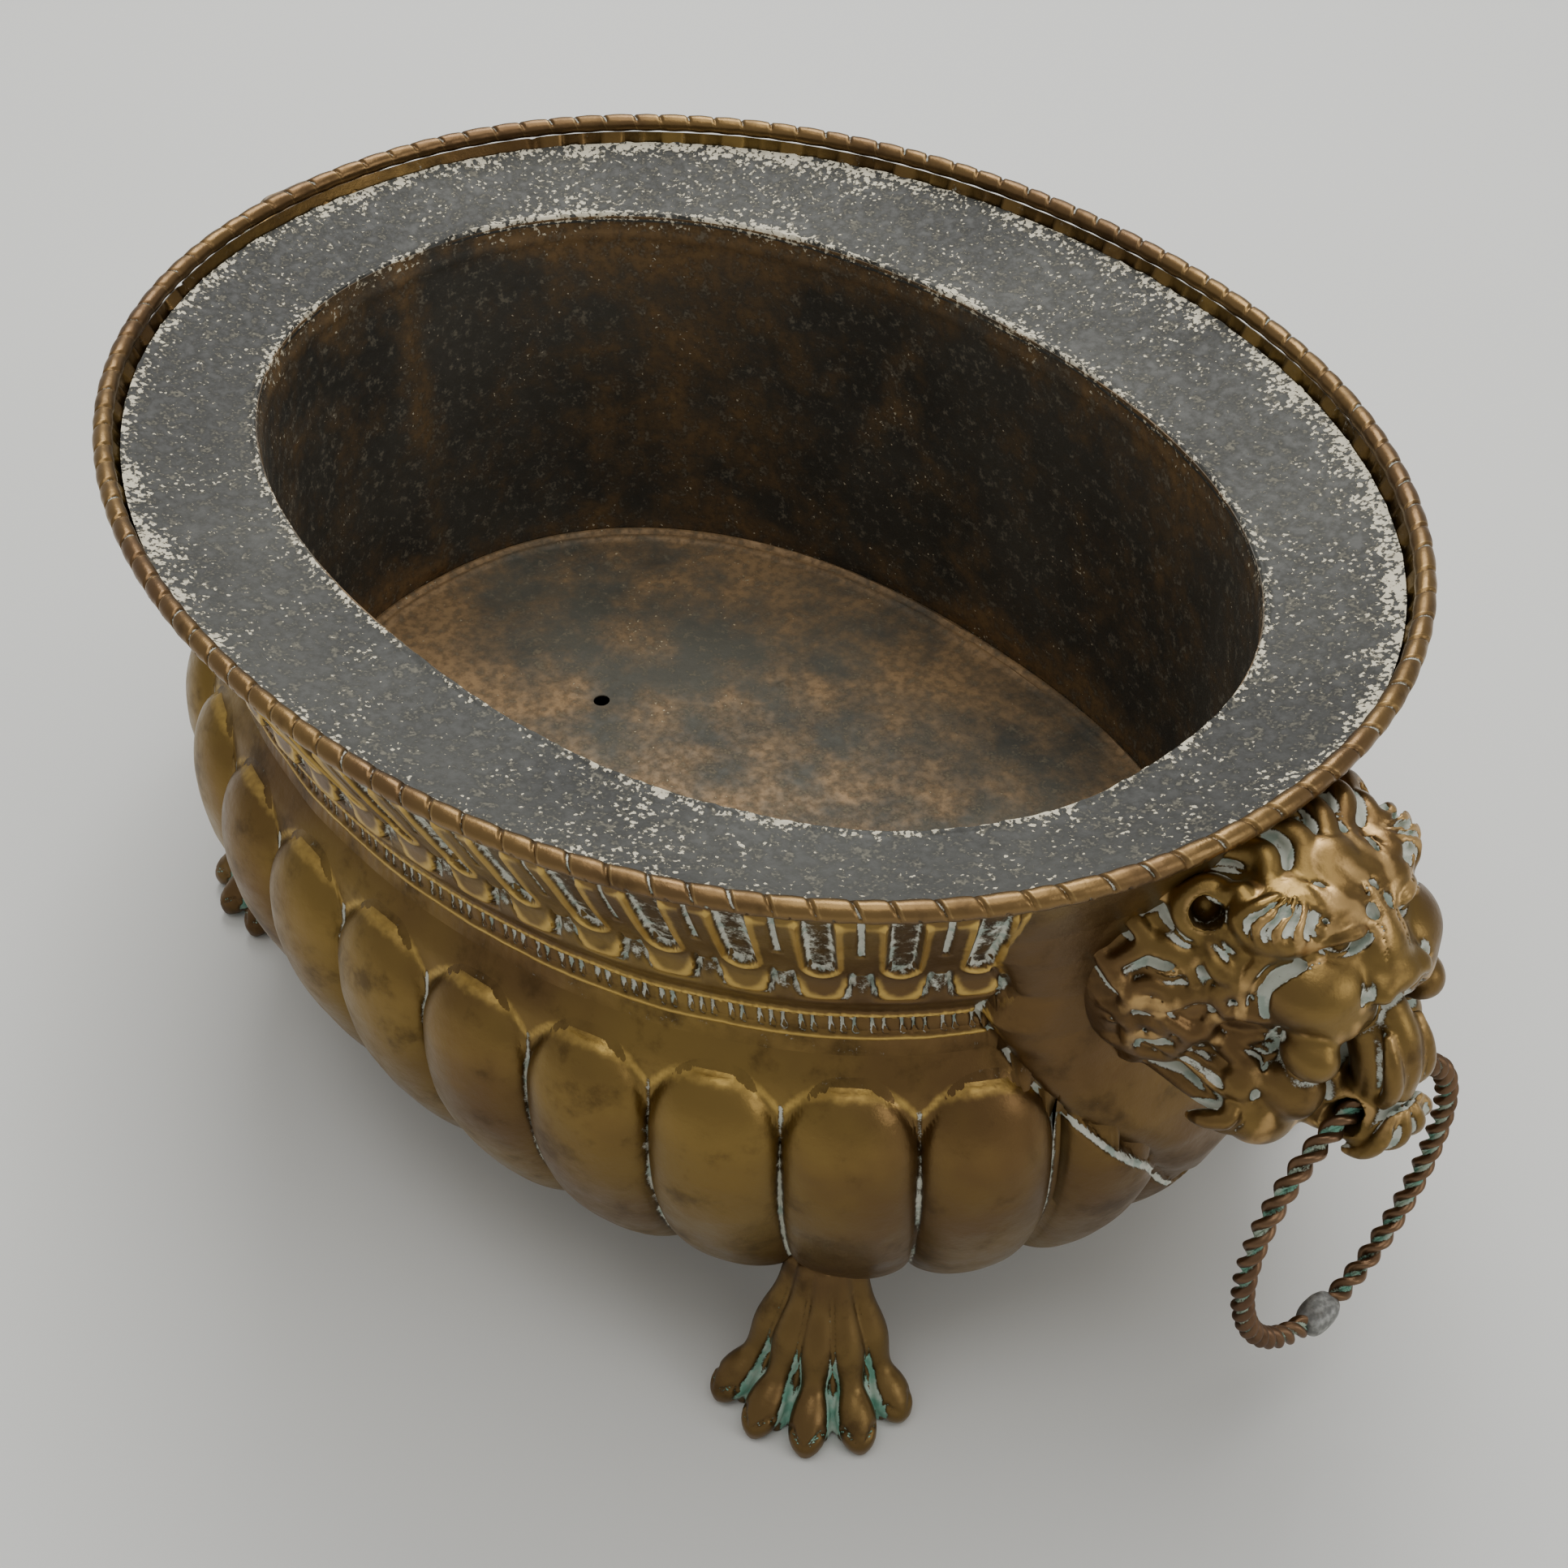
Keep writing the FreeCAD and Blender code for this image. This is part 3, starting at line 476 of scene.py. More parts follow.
def brass(name, brown, olive, gold, residue, green=0.0, roughness=0.36):
    """Old brass: brown and olive patina, gold on worn edges and painted highlights, hollows darkened by
    tarnish and painted shade, and pale residue.
    """
    p = Paint(name)
    hollow, proud = p.mark("hollow"), p.mark("proud")
    clouds, patches, grain, dust = p.noise(13, 4), p.noise(70, 5, 0.6), p.noise(420, 4), p.noise(1900, 3)
    colour = p.mix(p.spread(clouds, 0.36, 0.62), brown, olive)
    colour = p.mix(p.spread(patches, 0.52, 0.74, 0, 0.65), colour, tuple(0.45 * v for v in brown))
    # Gold where the proud mark is high: worn edges, and painted highlights where that mark carries them.
    rub_and_highlight = p.math("ADD", proud, p.math("MULTIPLY", p.math("SUBTRACT", grain, 0.5), 0.35))
    colour = p.mix(p.spread(rub_and_highlight, 0.3, 0.8, 0, 0.85), colour, gold)
    # Painted shade: the hollow mark turns the colour near-black brown, partly the dark tarnish that gathers
    # in hollows, partly shade that falls in them.
    depth = p.math("ADD", hollow, p.math("MULTIPLY", p.math("SUBTRACT", patches, 0.5), 0.55))
    colour = p.mix(p.spread(depth, 0.12, 0.45, 0, 0.75), colour, (0.035, 0.02, 0.008))
    crumbs = p.math("ADD", p.math("MULTIPLY", p.math("SUBTRACT", dust, 0.5), 0.5),
                    p.math("MULTIPLY", p.math("SUBTRACT", grain, 0.5), 0.7))
    fill = p.spread(p.math("ADD", depth, crumbs), 0.34, 0.62)
    verdigris = p.spread(p.noise(160, 4), 0.5 - 0.25 * green, 0.62)
    paste = p.mix(verdigris, residue, (0.16, 0.36, 0.27) if green else (0.36, 0.42, 0.36))
    colour = p.mix(fill, colour, paste)
    metallic = p.math("MULTIPLY", p.math("SUBTRACT", 1.0, fill), 0.93)
    rough = p.math("ADD", p.spread(patches, 0.3, 0.7, roughness - 0.06, roughness + 0.12),
                   p.math("MULTIPLY", fill, 0.45))
    normal = p.bump(dust, 0.00006, 0.5)
    normal = p.bump(grain, 0.00022, 0.45, normal)
    normal = p.bump(patches, 0.0008, 0.35, normal)
    return p.finish(colour, metallic, rough, normal)


def zinc(name, base, stain, speck, stained, specked):
    """Weathered zinc: mottled grey, brown stains and cream crumbs of lime."""
    p = Paint(name)
    crust = p.mark("crust")
    clouds, blotches = p.noise(11, 5, 0.6), p.noise(48, 6, 0.65)
    grain, dust = p.noise(260, 4, 0.6), p.noise(950, 3)
    colour = p.mix(p.spread(clouds, 0.35, 0.65), base, tuple(0.55 * v for v in base))
    mud = p.math("ADD", p.math("MULTIPLY", blotches, 0.6), p.math("MULTIPLY", clouds, 0.4))
    mud = p.math("ADD", mud, p.math("MULTIPLY", p.mark("mud"), 0.35))
    rust = p.spread(mud, 0.66 - 0.3 * stained, 0.86 - 0.2 * stained)
    colour = p.mix(rust, colour, p.mix(p.spread(grain, 0.35, 0.7), stain, tuple(0.4 * v for v in stain)))
    salt = p.add("ShaderNodeTexVoronoi", feature="F1")
    p.feed(salt.inputs["Vector"], p.place)
    p.feed(salt.inputs["Scale"], 420.0)
    near = p.math("SUBTRACT", 0.5, salt.outputs["Distance"])
    lime = p.math("ADD", p.math("MULTIPLY", near, 0.55), p.math("MULTIPLY", blotches, 0.75))
    lime = p.math("ADD", lime, p.math("MULTIPLY", p.math("SUBTRACT", dust, 0.5), 0.9))
    lime = p.math("ADD", lime, p.math("MULTIPLY", crust, 0.34))
    crumbs = p.spread(lime, 0.83 - 0.2 * specked, 0.9 - 0.17 * specked)
    colour = p.mix(crumbs, colour, speck)
    frost = p.spread(p.math("ADD", grain, p.math("MULTIPLY", dust, 0.5)), 0.78, 1.0, 0, 0.45)
    colour = p.mix(frost, colour, tuple(0.5 * v for v in speck))
    rough = p.spread(grain, 0.3, 0.7, 0.54, 0.82)
    normal = p.bump(dust, 0.00012, 0.6)
    normal = p.bump(crumbs, 0.0005, 0.8, normal)
    normal = p.bump(blotches, 0.0012, 0.4, normal)
    return p.finish(colour, p.math("MULTIPLY", p.math("SUBTRACT", 1.0, crumbs), 0.25), rough, normal)


def solder_grey(name):
    p = Paint(name)
    grain, lumps = p.noise(500, 4), p.noise(120, 4)
    colour = p.mix(p.spread(grain, 0.35, 0.7), (0.16, 0.16, 0.15), (0.34, 0.34, 0.32))
    colour = p.mix(p.spread(lumps, 0.55, 0.75, 0, 0.6), colour, (0.07, 0.055, 0.04))
    return p.finish(colour, 0.75, p.spread(lumps, 0.3, 0.7, 0.42, 0.65), p.bump(lumps, 0.0006, 0.6))


def steel_grey(name):
    p = Paint(name)
    grain, rust = p.noise(300, 3), p.noise(60, 5)
    colour = p.mix(p.spread(rust, 0.5, 0.7), (0.2, 0.19, 0.18), (0.13, 0.06, 0.03))
    return p.finish(colour, 0.8, p.spread(grain, 0.3, 0.7, 0.4, 0.6), p.bump(grain, 0.0002, 0.4))


BRASS = brass("aged_brass", (0.135, 0.078, 0.030), (0.215, 0.138, 0.040),
              (0.60, 0.40, 0.11), (0.57, 0.575, 0.49))
CAST = brass("cast_brass", (0.135, 0.078, 0.032), (0.20, 0.128, 0.040),
             (0.50, 0.32, 0.13), (0.56, 0.575, 0.50), 0.0, 0.34)
PAW_BRASS = brass("paw_brass", (0.115, 0.066, 0.030), (0.17, 0.108, 0.038),
                  (0.50, 0.33, 0.13), (0.46, 0.53, 0.45), 1.0, 0.36)
BEAD_BRASS = brass("bead_brass", (0.145, 0.085, 0.040), (0.21, 0.13, 0.05),
                   (0.5, 0.34, 0.14), (0.5, 0.5, 0.42), 0.0, 0.33)
RING_BRASS = brass("ring_brass", (0.125, 0.072, 0.042), (0.16, 0.095, 0.052),
                   (0.34, 0.22, 0.12), (0.42, 0.5, 0.40), 0.2, 0.36)
ZINC_FLANGE = zinc("zinc_flange", (0.060, 0.060, 0.052), (0.12, 0.09, 0.055), (0.62, 0.57, 0.43), 0.2, 1.3)
ZINC_WALL = zinc("zinc_wall", (0.066, 0.062, 0.050), (0.20, 0.125, 0.055), (0.6, 0.53, 0.38), 0.62, 0.66)
ZINC_BOTTOM = zinc("zinc_bottom", (0.10, 0.095, 0.072), (0.34, 0.215, 0.10), (0.55, 0.45, 0.28), 0.85, 0.62)
SOLDER = solder_grey("solder")
STEEL = steel_grey("steel")


# ---- The pot's skins ----
# The section between lobes: distance inwards from the rim line, and height.
BODY_LINE = [(1.0, 231), (3.0, 227), (6.5, 219), (12.0, 207), (16.8, 197), (18.8, 190), (19.3, 183),
             (20.3, 178.5), (23.6, 172.8), (25.0, 169), (25.2, 160), (26.6, 156.5), (23.0, 151.5),
             (18.8, 145.5), (16.6, 139), (14.6, 127), (13.4, 112), (14.2, 96), (17.5, 80), (23.0, 65),
             (30.0, 52), (38.0, 42), (45.0, 35), (52.0, 29.8)]
# The end plate's section, over the frieze and the lobes' tops.
PLATE_LINE = [(1.0, 231), (4.0, 222), (8.0, 210), (11.0, 195), (12.6, 180), (12.8, 165), (11.4, 150),
              (9.0, 135), (6.4, 120), (5.0, 105), (6.0, 90), (10.0, 76), (16.0, 64)]
# The end plate's half width along the rim, by height: a shield with a pointed foot.
PLATE_HEIGHTS = [66, 76, 90, 103, 117, 131, 142, 150, 160, 169, 174, 182, 190, 199, 206, 216, 231]
PLATE_WIDTHS = [2, 12, 21, 29, 43, 56, 65, 71, 77.5, 82.5, 79.5, 75.5, 79, 82.5, 82, 79.5, 78]
# The lobes' height over the section between them, by height.
LOBE_HEIGHTS = [29.8, 33, 40, 51, 65, 80, 96, 112, 128, 146]
LOBE_RISES = [0.2, 2.0, 4.2, 5.8, 6.6, 7.4, 9.0, 10.0, 9.8, 9.0]
LOBE_TOP, LOBE_CAP = 146.5, 27.0
FRIEZE_FOOT = 157.0
# Heights in the frieze, from the rim down: dashes, tongues, channel, beading and strokes.
DASH_FOOT, TONGUE_FOOT, CHANNEL_FOOT = 208, 199.4, 181.0
BEADING, STROKE_TOP, STROKE_FOOT, BORDER_EDGE = 169.4, 168.2, 160.2, 159.2
TONGUE_HALF, DASH_HALF = 4.2, 0.8
SCALLOP_TALL, SCALLOP_WIDE = 11.5, 3.5
STROKES = (1.5, 5.2, 8.9, 14.8, 18.5)
PLATE_FOOT = 68
SKIN_STEP = 0.95
# Lobes under the end plate: how far from its middle, and their half width.
END_LOBES = [(0.0, 17.5), (37.0, 19.5)]
END_LOBE_TOP = 110
PLATE_ROUNDING = 17.0
SEAM_DEPTH = 1.1


def lobe_dome(across, height):
    """The rise of a rounded lobe from 0 at its outline to 1 at its middle."""
    over = np.clip((height - (LOBE_TOP - LOBE_CAP)) / LOBE_CAP, 0, None)
    q = (abs(across) ** 2.2 + over**2.2) ** (1 / 2.2)
    return np.clip(1 - np.clip(q, 0, 1) ** 2.05, 0, 1) ** 0.58


def frieze(along, height):
    """Relief of the tongues, dashes, scalloped channel and dashed border, and where residue and painted shade
    gather in them.
    """
    across = nearest(along, FRIEZE_PITCH)
    cusp = FRIEZE_PITCH / 2 - abs(across)
    tongue = np.where(height > TONGUE_FOOT, abs(across), np.hypot(across, height - TONGUE_FOOT)) - TONGUE_HALF
    # The second value marks the grooves for pale residue and, through the brass, for painted shade.
    relief = -1.9 * smoothstep(0.5 - tongue / 1.2) + 0.7 * bell((tongue - 1.2) / 0.8)
    dirt_and_shade = 0.12 * smoothstep(0.3 - tongue / 1.0) + 0.5 * bell((tongue + 0.5) / 0.8)
    dash = np.where(height > DASH_FOOT, cusp, np.hypot(cusp, height - DASH_FOOT)) - DASH_HALF
    relief -= 1.3 * smoothstep(0.5 - dash / 0.8)
    dirt_and_shade += 0.9 * smoothstep(0.4 - dash / 0.8)
    part = cusp / SCALLOP_WIDE
    rise = SCALLOP_TALL / (1 + part**6)
    slope = SCALLOP_TALL * 6 * part**5 / SCALLOP_WIDE / (1 + part**6) ** 2
    gap = (height - CHANNEL_FOOT - rise) / np.sqrt(1 + slope**2)
    relief += 1.6 * smoothstep(gap / 2.4 + 0.1) * smoothstep((231 - height) / 6)
    relief -= 1.5 * bell(gap / 0.9)
    dirt_and_shade += 0.55 * bell(gap / 1.0) + 0.75 * bell(cusp / 2.6) * bell((height - 187) / 4.5)
    wave = height - BEADING - 0.4 * np.sin(2 * math.pi * along / 4.54)
    relief += 1.1 * bell(wave / 0.8)
    sunk = smoothstep((STROKE_TOP + 0.2 - height) / 0.8) * smoothstep((height - STROKE_FOOT + 0.2) / 0.8)
    relief -= 0.9 * sunk
    group = np.mod(along + 0.13 * (height - 164), FRIEZE_PITCH)
    band = smoothstep((STROKE_TOP - height) / 0.7) * smoothstep((height - STROKE_FOOT) / 0.7)
    for spot in STROKES:
        stroke = abs(group - spot)
        relief -= 1.1 * smoothstep(1.25 - stroke / 0.8) * band
        dirt_and_shade += 1.0 * smoothstep(1.3 - stroke / 0.75) * band
    relief += 0.8 * bell((height - BORDER_EDGE) / 0.8)
    relief *= smoothstep((230.5 - height) / 5.0)
    return relief * (height > FRIEZE_FOOT - 2), dirt_and_shade * (height > FRIEZE_FOOT - 2)


def body_rows():
    """The section's points and outward normals: fine through the frieze, coarser below."""
    line = spline(BODY_LINE, 0.2)
    upper = line[line[:, 1] > FRIEZE_FOOT][::4]
    lower = line[line[:, 1] <= FRIEZE_FOOT]
    lower = np.concatenate([lower[:-1:8], lower[-1:]])
    rows = np.concatenate([upper, lower])
    tangent = np.gradient(rows, axis=0)
    tangent /= np.linalg.norm(tangent, axis=1, keepdims=True)
    return rows, np.stack([tangent[:, 1], -tangent[:, 0]], axis=1)


def lobes(from_front, from_end, height):
    """The rise of the side panels' lobes and of those under the end plates."""
    in_panel = abs(from_front) < PANEL_HALF
    dome = np.where(in_panel, lobe_dome(across_lobe(from_front), height), 0)
    for spot, half in END_LOBES:
        for side in (-1, 1):
            local = (from_end - side * spot) / half
            low_dome = lobe_dome(local, np.minimum(height, END_LOBE_TOP))
            dome = np.maximum(dome, np.where(~in_panel & (abs(local) < 1), low_dome, 0))
    return np.interp(height, LOBE_HEIGHTS, LOBE_RISES) * dome * (height < FRIEZE_FOOT)


def across_lobe(from_front):
    """How far across its lobe a place lies, from -1 to 1."""
    return nearest(from_front - LOBE_PITCH / 2, LOBE_PITCH) / (LOBE_PITCH / 2)


def under_plate(rows, normals, relief, edge, on_plate):
    """The skin's distance inwards and its height, with the end plate laid over the relief."""
    height = rows[:, 1][:, None]
    inwards = rows[:, 0][:, None] + normals[:, 0][:, None] * relief
    tall = height + normals[:, 1][:, None] * relief
    inwards = inwards * (1 - on_plate) + rows[:, 0][:, None] * on_plate
    tall = tall * (1 - on_plate) + height * on_plate
    plate_line = np.array(PLATE_LINE)
    plate_in = np.interp(-height, -plate_line[:, 1], plate_line[:, 0])
    pillow = np.sqrt(1 - (1 - np.clip(edge / PLATE_ROUNDING, 0, 1)) ** 2) * on_plate
    return inwards * (1 - pillow) + plate_in * pillow, tall


def body_patina(place, from_front, height, edge, on_plate, seam, depth):
    """How hollow and how proud the skin is, beside what the frieze itself gives: hollows take residue and
    painted shade, and the lobes' tops a worn gold line that is partly painted highlight.
    """
    off_plate = 1 - on_plate
    in_panel = abs(from_front) < PANEL_HALF
    across = across_lobe(from_front)
    soft = blurred(depth, 3)
    fill = np.where(height > FRIEZE_FOOT, 0.3, 0.08)
    # Hollows under the blurred relief, the lobes' valleys, the plate's outline and its corners: residue, and
    # painted shade where shade falls in them.
    hollow = np.clip((soft - depth) * 0.5, 0, fill)
    valley = bell((1 - abs(across)) / 0.035) * in_panel * (height < 138) * (height > 48)
    ragged = lattice_noise(place, 14.0, 8)
    hollow = hollow + valley * np.clip(0.66 + 0.5 * ragged, 0, 1) * off_plate
    hollow += 0.85 * bell((edge + 0.9) / 1.2) * (height < 172) * (height > PLATE_FOOT) + 0.2 * seam
    # Painted shadow: a dark line down the seam at each end of the side panels, beside the lobes' deep edge.
    hollow += 0.7 * bell((abs(from_front) - PANEL_HALF) / 1.2) * (height < 150) * off_plate
    corner = bell((edge + 5.0) / 3.5) * smoothstep((height - 186) / 6)
    hollow += corner * np.clip(0.08 + 0.35 * lattice_noise(place, 5.0, 9), 0, 1)
    proud = np.clip((depth - soft) * 1.1 - 0.12, 0, 1) * (height > FRIEZE_FOOT)
    # A gold line along the lobes' tops: partly wear on the crease, partly a painted highlight.
    lobe_top_wear_and_highlight = bell((height - LOBE_TOP + 1.5 + 9 * abs(across) ** 3) / 3.0) * in_panel * off_plate
    return hollow, np.clip(proud + 0.62 * lobe_top_wear_and_highlight + 0.35 * bell((edge - 1.5) / 1.5), 0, 1)


def body_grid(along):
    """The outer and inner faces of the skin over these lengths along the rim, with its marks."""
    rows, normals = body_rows()
    height = rows[:, 1][:, None]
    from_front = nearest(along, 2 * QUARTER)[None, :]
    from_end = nearest(along - QUARTER, 2 * QUARTER)[None, :]
    relief, dirt_and_shade = frieze(from_front, height)
    relief = relief + lobes(from_front, from_end, height)
    edge = np.interp(height, PLATE_HEIGHTS, PLATE_WIDTHS) - abs(from_end)
    on_plate = smoothstep(edge / 2.6) * smoothstep((height - 65) / 2)
    seam = bell((edge + 0.9) / 1.0) * (height > PLATE_FOOT)
    inwards, tall = under_plate(rows, normals, relief, edge, on_plate)
    x, y, nx, ny = RIM.at(along)
    place = np.stack(np.broadcast_arrays(x[None, :], y[None, :], height), axis=-1)
    inwards = inwards + SEAM_DEPTH * seam
    inwards = inwards + 0.35 * lattice_noise(place, 24.0, 3) + 0.12 * lattice_noise(place, 7.0, 4)
    outer = np.stack([x - nx * inwards, y - ny * inwards, tall], axis=-1)
    back_in = inwards - normals[:, 0][:, None] * SHEET
    inner = np.stack([x - nx * back_in, y - ny * back_in, tall - normals[:, 1][:, None] * SHEET], axis=-1)
    depth = relief * (1 - on_plate) - SEAM_DEPTH * seam
    hollow, proud = body_patina(place, from_front, height, edge, on_plate, seam, depth)
    return outer, inner, np.clip(hollow + dirt_and_shade * (1 - on_plate) * 0.6, 0, 1), proud


def body_panel(name, first, last):
    """One closed panel of the pot between two lengths along the rim."""
    along = np.linspace(first, last, round((last - first) / SKIN_STEP) + 1)
    outer, inner, hollow, proud = body_grid(along)
    back = thinned(inner, 8)
    points, faces = shell(outer, back, wrap=False)
    marks = with_back({"hollow": hollow, "proud": proud}, back, {"hollow": 0.2})
    return make_piece(name, points, faces, marks, BRASS, "pot", [name.replace("_skin", "")])


NOTCH_PITCH = 10.3


def rim_bead():
    """The rolled rim, scored with slanting notches."""
    count, around = 3000, 24
    along = np.linspace(0, RIM.perimeter, count, endpoint=False)
    x, y, nx, ny = RIM.at(along)
    spin = np.linspace(0, 2 * math.pi, around, endpoint=False)[None, :]
    notches = round(RIM.perimeter / NOTCH_PITCH)
    pitch = RIM.perimeter / notches
    jitter = np.random.default_rng(5).uniform(-0.9, 0.9, notches)
    filled_and_shaded = np.random.default_rng(6).uniform(0.1, 1.0, notches)
    which = np.floor(np.mod(along, RIM.perimeter) / pitch).astype(int) % notches
    centre = (which + 0.5) * pitch + jitter[which]
    slanted = along[:, None] - centre[:, None] + 1.1 * (spin - 1.2)
    reach = smoothstep((np.cos(spin - 0.9) + 0.35) / 0.6)
    depth = bell(slanted / 0.5) * reach
    swell = 0.12 * np.cos(2 * math.pi * (along[:, None] - centre[:, None]) / pitch)
    radius = BEAD_RADIUS - 0.12 - 0.8 * depth - swell
    out = radius * np.cos(spin)
    points = np.stack([x[:, None] + nx[:, None] * out, y[:, None] + ny[:, None] * out,
                       RIM_Z + radius * np.sin(spin)], axis=-1)
    # The notches take residue and, through the brass, painted shade; the pale gold line along one side of
    # each notch is partly wear, partly a painted highlight.
    marks = {"hollow": np.clip(depth * (0.15 + 0.5 * filled_and_shaded[which][:, None]), 0, 1),
             "proud": np.clip(0.5 * bell((slanted - 1.3) / 0.6), 0, 1)}
    return make_piece("rim_rope", points.reshape(-1, 3), turned_over(tube_faces(count, around)),
                      marks, BEAD_BRASS, "pot", ["rim_bead"])


# ---- Lion masks ----
RING_LOW, RING_HIGH = box_mm("right_ring")
RING_ROPE = (RING_HIGH[0] - RING_LOW[0]) / 2
RING_X = (RING_HIGH[0] + RING_LOW[0]) / 2
RING_TOP = RING_HIGH[2] - RING_ROPE
RING_HALF = RING_HIGH[1] - RING_ROPE
RING_DROP = (RING_HIGH[2] - RING_LOW[2]) / 2 - RING_ROPE
RING_EGG = 0.13


def ring_point(turn):
    """The ring's line, as distance across and drop below its top, at this angle."""
    return RING_HALF * np.sin(turn) * (1 + RING_EGG * np.cos(turn)), RING_DROP * (1 - np.cos(turn))


MANE_MIDDLE = 183.5
# Each mass of the head: its centre and its three radii.
HEAD_MASSES = [((199, 0, 182), (29, 49, 46.5)), ((212, 0, 184), (24, 43, 43)),
               ((224, 0, 190), (28, 31, 33)), ((232, 0, 160), (17, 33, 20))]


def front_of_head(across, height):
    """How far forward the head's masses reach here."""
    best = np.full(np.broadcast(across, height).shape, float(HEAD_MASSES[0][0][0]))
    for (cx, cy, cz), (rx, ry, rz) in HEAD_MASSES:
        inside = 1 - ((across - cy) / ry) ** 2 - ((height - cz) / rz) ** 2
        reach = cx + rx * np.sqrt(np.clip(inside, 0, None))
        best = np.where(inside > 0, np.maximum(best, reach), best)
    return best


def lay_on_head(path, lift):
    """Points that follow the head's front, from distances across and heights."""
    path = np.array(path, float)
    return np.column_stack([front_of_head(path[:, 0], path[:, 1]) + lift, path])


# Each row of the mane: where its locks start and stop, how many, their offset and their lift.
MANE_ROWS = [(25, 37, 20, 0.0, 1.0), (32, 44, 26, 0.5, 0.5), (40, 50.5, 32, 0.2, 0.2)]
MANE_ARC = 312


def mane_locks(clay):
    """Curling locks that ring the face, in rows that overlap, with grooves between them."""
    rng = np.random.default_rng(11)
    for start, stop, count, offset, lift in MANE_ROWS:
        for i in range(count):
            turn = math.radians(-MANE_ARC / 2 + MANE_ARC * (i + offset) / count)
            sway = math.radians(rng.uniform(5, 11)) * (1 if i % 2 else -1)
            grow = rng.uniform(0.94, 1.03)
            steps = np.linspace(0, 1, 6)
            reach = start + (stop * grow - start) * steps
            angle = turn + sway * np.sin(steps * math.pi * 1.6) + math.radians(7) * steps
            path = np.column_stack([reach * np.sin(angle), MANE_MIDDLE - reach * np.cos(angle) * 0.94])
            clay.strand(lay_on_head(path, lift), [1.6, 2.6, 3.1, 3.0, 2.3, 1.2], 1.3)
            apart = math.pi * (start + stop) / 2 * MANE_ARC / 360 / count
            groove = path + np.column_stack([np.cos(angle), np.sin(angle)]) * apart
            clay.strand(lay_on_head(groove, lift + 1.2), [0.4, 1.0, 1.3, 1.3, 1.0, 0.4], 1.0, carve=True)


def both(clay, points, radii, blend=2.0, carve=False):
    """A strand on each side of the face."""
    for side in (1, -1):
        mirrored = [(x, side * y, z) for x, y, z in points]
        clay.strand(mirrored, radii, blend, carve)


def cut_both(clay, points, radii, blend):
    """A groove on each side of the face."""
    both(clay, points, radii, blend, carve=True)


def both_blobs(clay, centre, radii, blend=3.0, carve=False):
    for side in (1, -1):
        clay.blob((centre[0], side * centre[1], centre[2]), radii, blend, carve)


def nose_and_pads(clay):
    """Brow, nose, nostrils and whisker pads."""
    both_blobs(clay, (233, 16, 214), (13, 15, 10), 5)
    both_blobs(clay, (241, 10, 217), (9, 9, 6.5), 3)
    clay.strand([(233, 0, 218), (243, 0, 213), (250, 0, 206), (253, 0, 201)], [10, 9.5, 9.0, 8.5], 4)
    both_blobs(clay, (243, 14, 197), (16, 15.5, 13), 4)
    both_blobs(clay, (249, 12, 190.5), (11.5, 12, 9.5), 3)
    clay.blob((256.5, 0, 200.5), (7.5, 10.5, 5.0), 2.0)
    both_blobs(clay, (259, 6.8, 199.5), (4.6, 4.4, 3.8), 1.6)
    both_blobs(clay, (264.0, 5.0, 197.6), (2.6, 2.2, 2.0), 0.8, carve=True)
    clay.strand([(263, 0, 197), (262.5, 0, 186)], [1.3, 1.5], 1.0, carve=True)
    cut_both(clay, [(251, 10, 213), (256, 10.5, 207), (259, 11.5, 201), (256, 13, 196)],
             [0.9, 1.5, 1.6, 0.8], 1.0)
    cut_both(clay, [(245, 1.5, 222), (252, 2.5, 214), (257, 3.5, 207)], [0.8, 1.2, 0.8], 1.0)
    for k in range(4):
        whisker = [(256 - 2 * k, 15 + 2.4 * k, 193 - 1.0 * k), (259 - 2.4 * k, 13 + 3.2 * k, 186 - 0.5 * k)]
        cut_both(clay, whisker, [0.5, 0.9], 0.8)


def comb_brow(clay):
    """Locks combed over the brow, each beside its groove."""
    brow, bulge = np.array([233.0, 16.0, 214.0]), np.array([13.0, 15.0, 10.0])
    for k in range(6):
        for shift, radius, carve in ((0.0, 1.5, True), (0.22, 1.9, False)):
            line = []
            for rise in (0.15, 0.5, 0.85, 1.2):
                spin = -0.75 + 0.42 * k + shift + 0.3 * math.sin(3.2 * rise)
                flat = math.cos(rise)
                way = np.array([flat * math.cos(spin), flat * math.sin(spin), math.sin(rise)])
                line.append(tuple(brow + bulge * way))
            both(clay, line, [0.4 * radius, radius, radius, 0.5 * radius], 1.1, carve)


def eyes(clay):
    """A ball in a hollow on each side, with lids and furrows."""
    both_blobs(clay, (249.0, 11.5, 212.5), (6.0, 7.4, 4.8), 1.6, carve=True)
    both_blobs(clay, (245.6, 11.2, 211.6), 4.6, 0.8)
    both(clay, [(249, 4.5, 212.5), (251, 9, 215.6), (248, 15, 215), (244, 19, 211)],
         [1.0, 1.9, 1.9, 1.0], 0.9)
    both(clay, [(251, 4.5, 209.5), (251.5, 9, 207.6), (248.5, 14.5, 207.6), (244, 19, 210)],
         [1.0, 1.5, 1.5, 0.9], 0.9)
    cut_both(clay, [(247, 4, 223), (247, 12, 223.5), (241, 21, 219)], [1.4, 1.5, 1.0], 1.3)
    cut_both(clay, [(250, 3, 217), (249, 5.5, 224), (243, 5, 228)], [1.2, 1.3, 1.0], 1.2)
    cut_both(clay, [(238, 23, 222), (241, 24, 214), (243, 21, 208)], [1.4, 1.8, 1.2], 1.3)


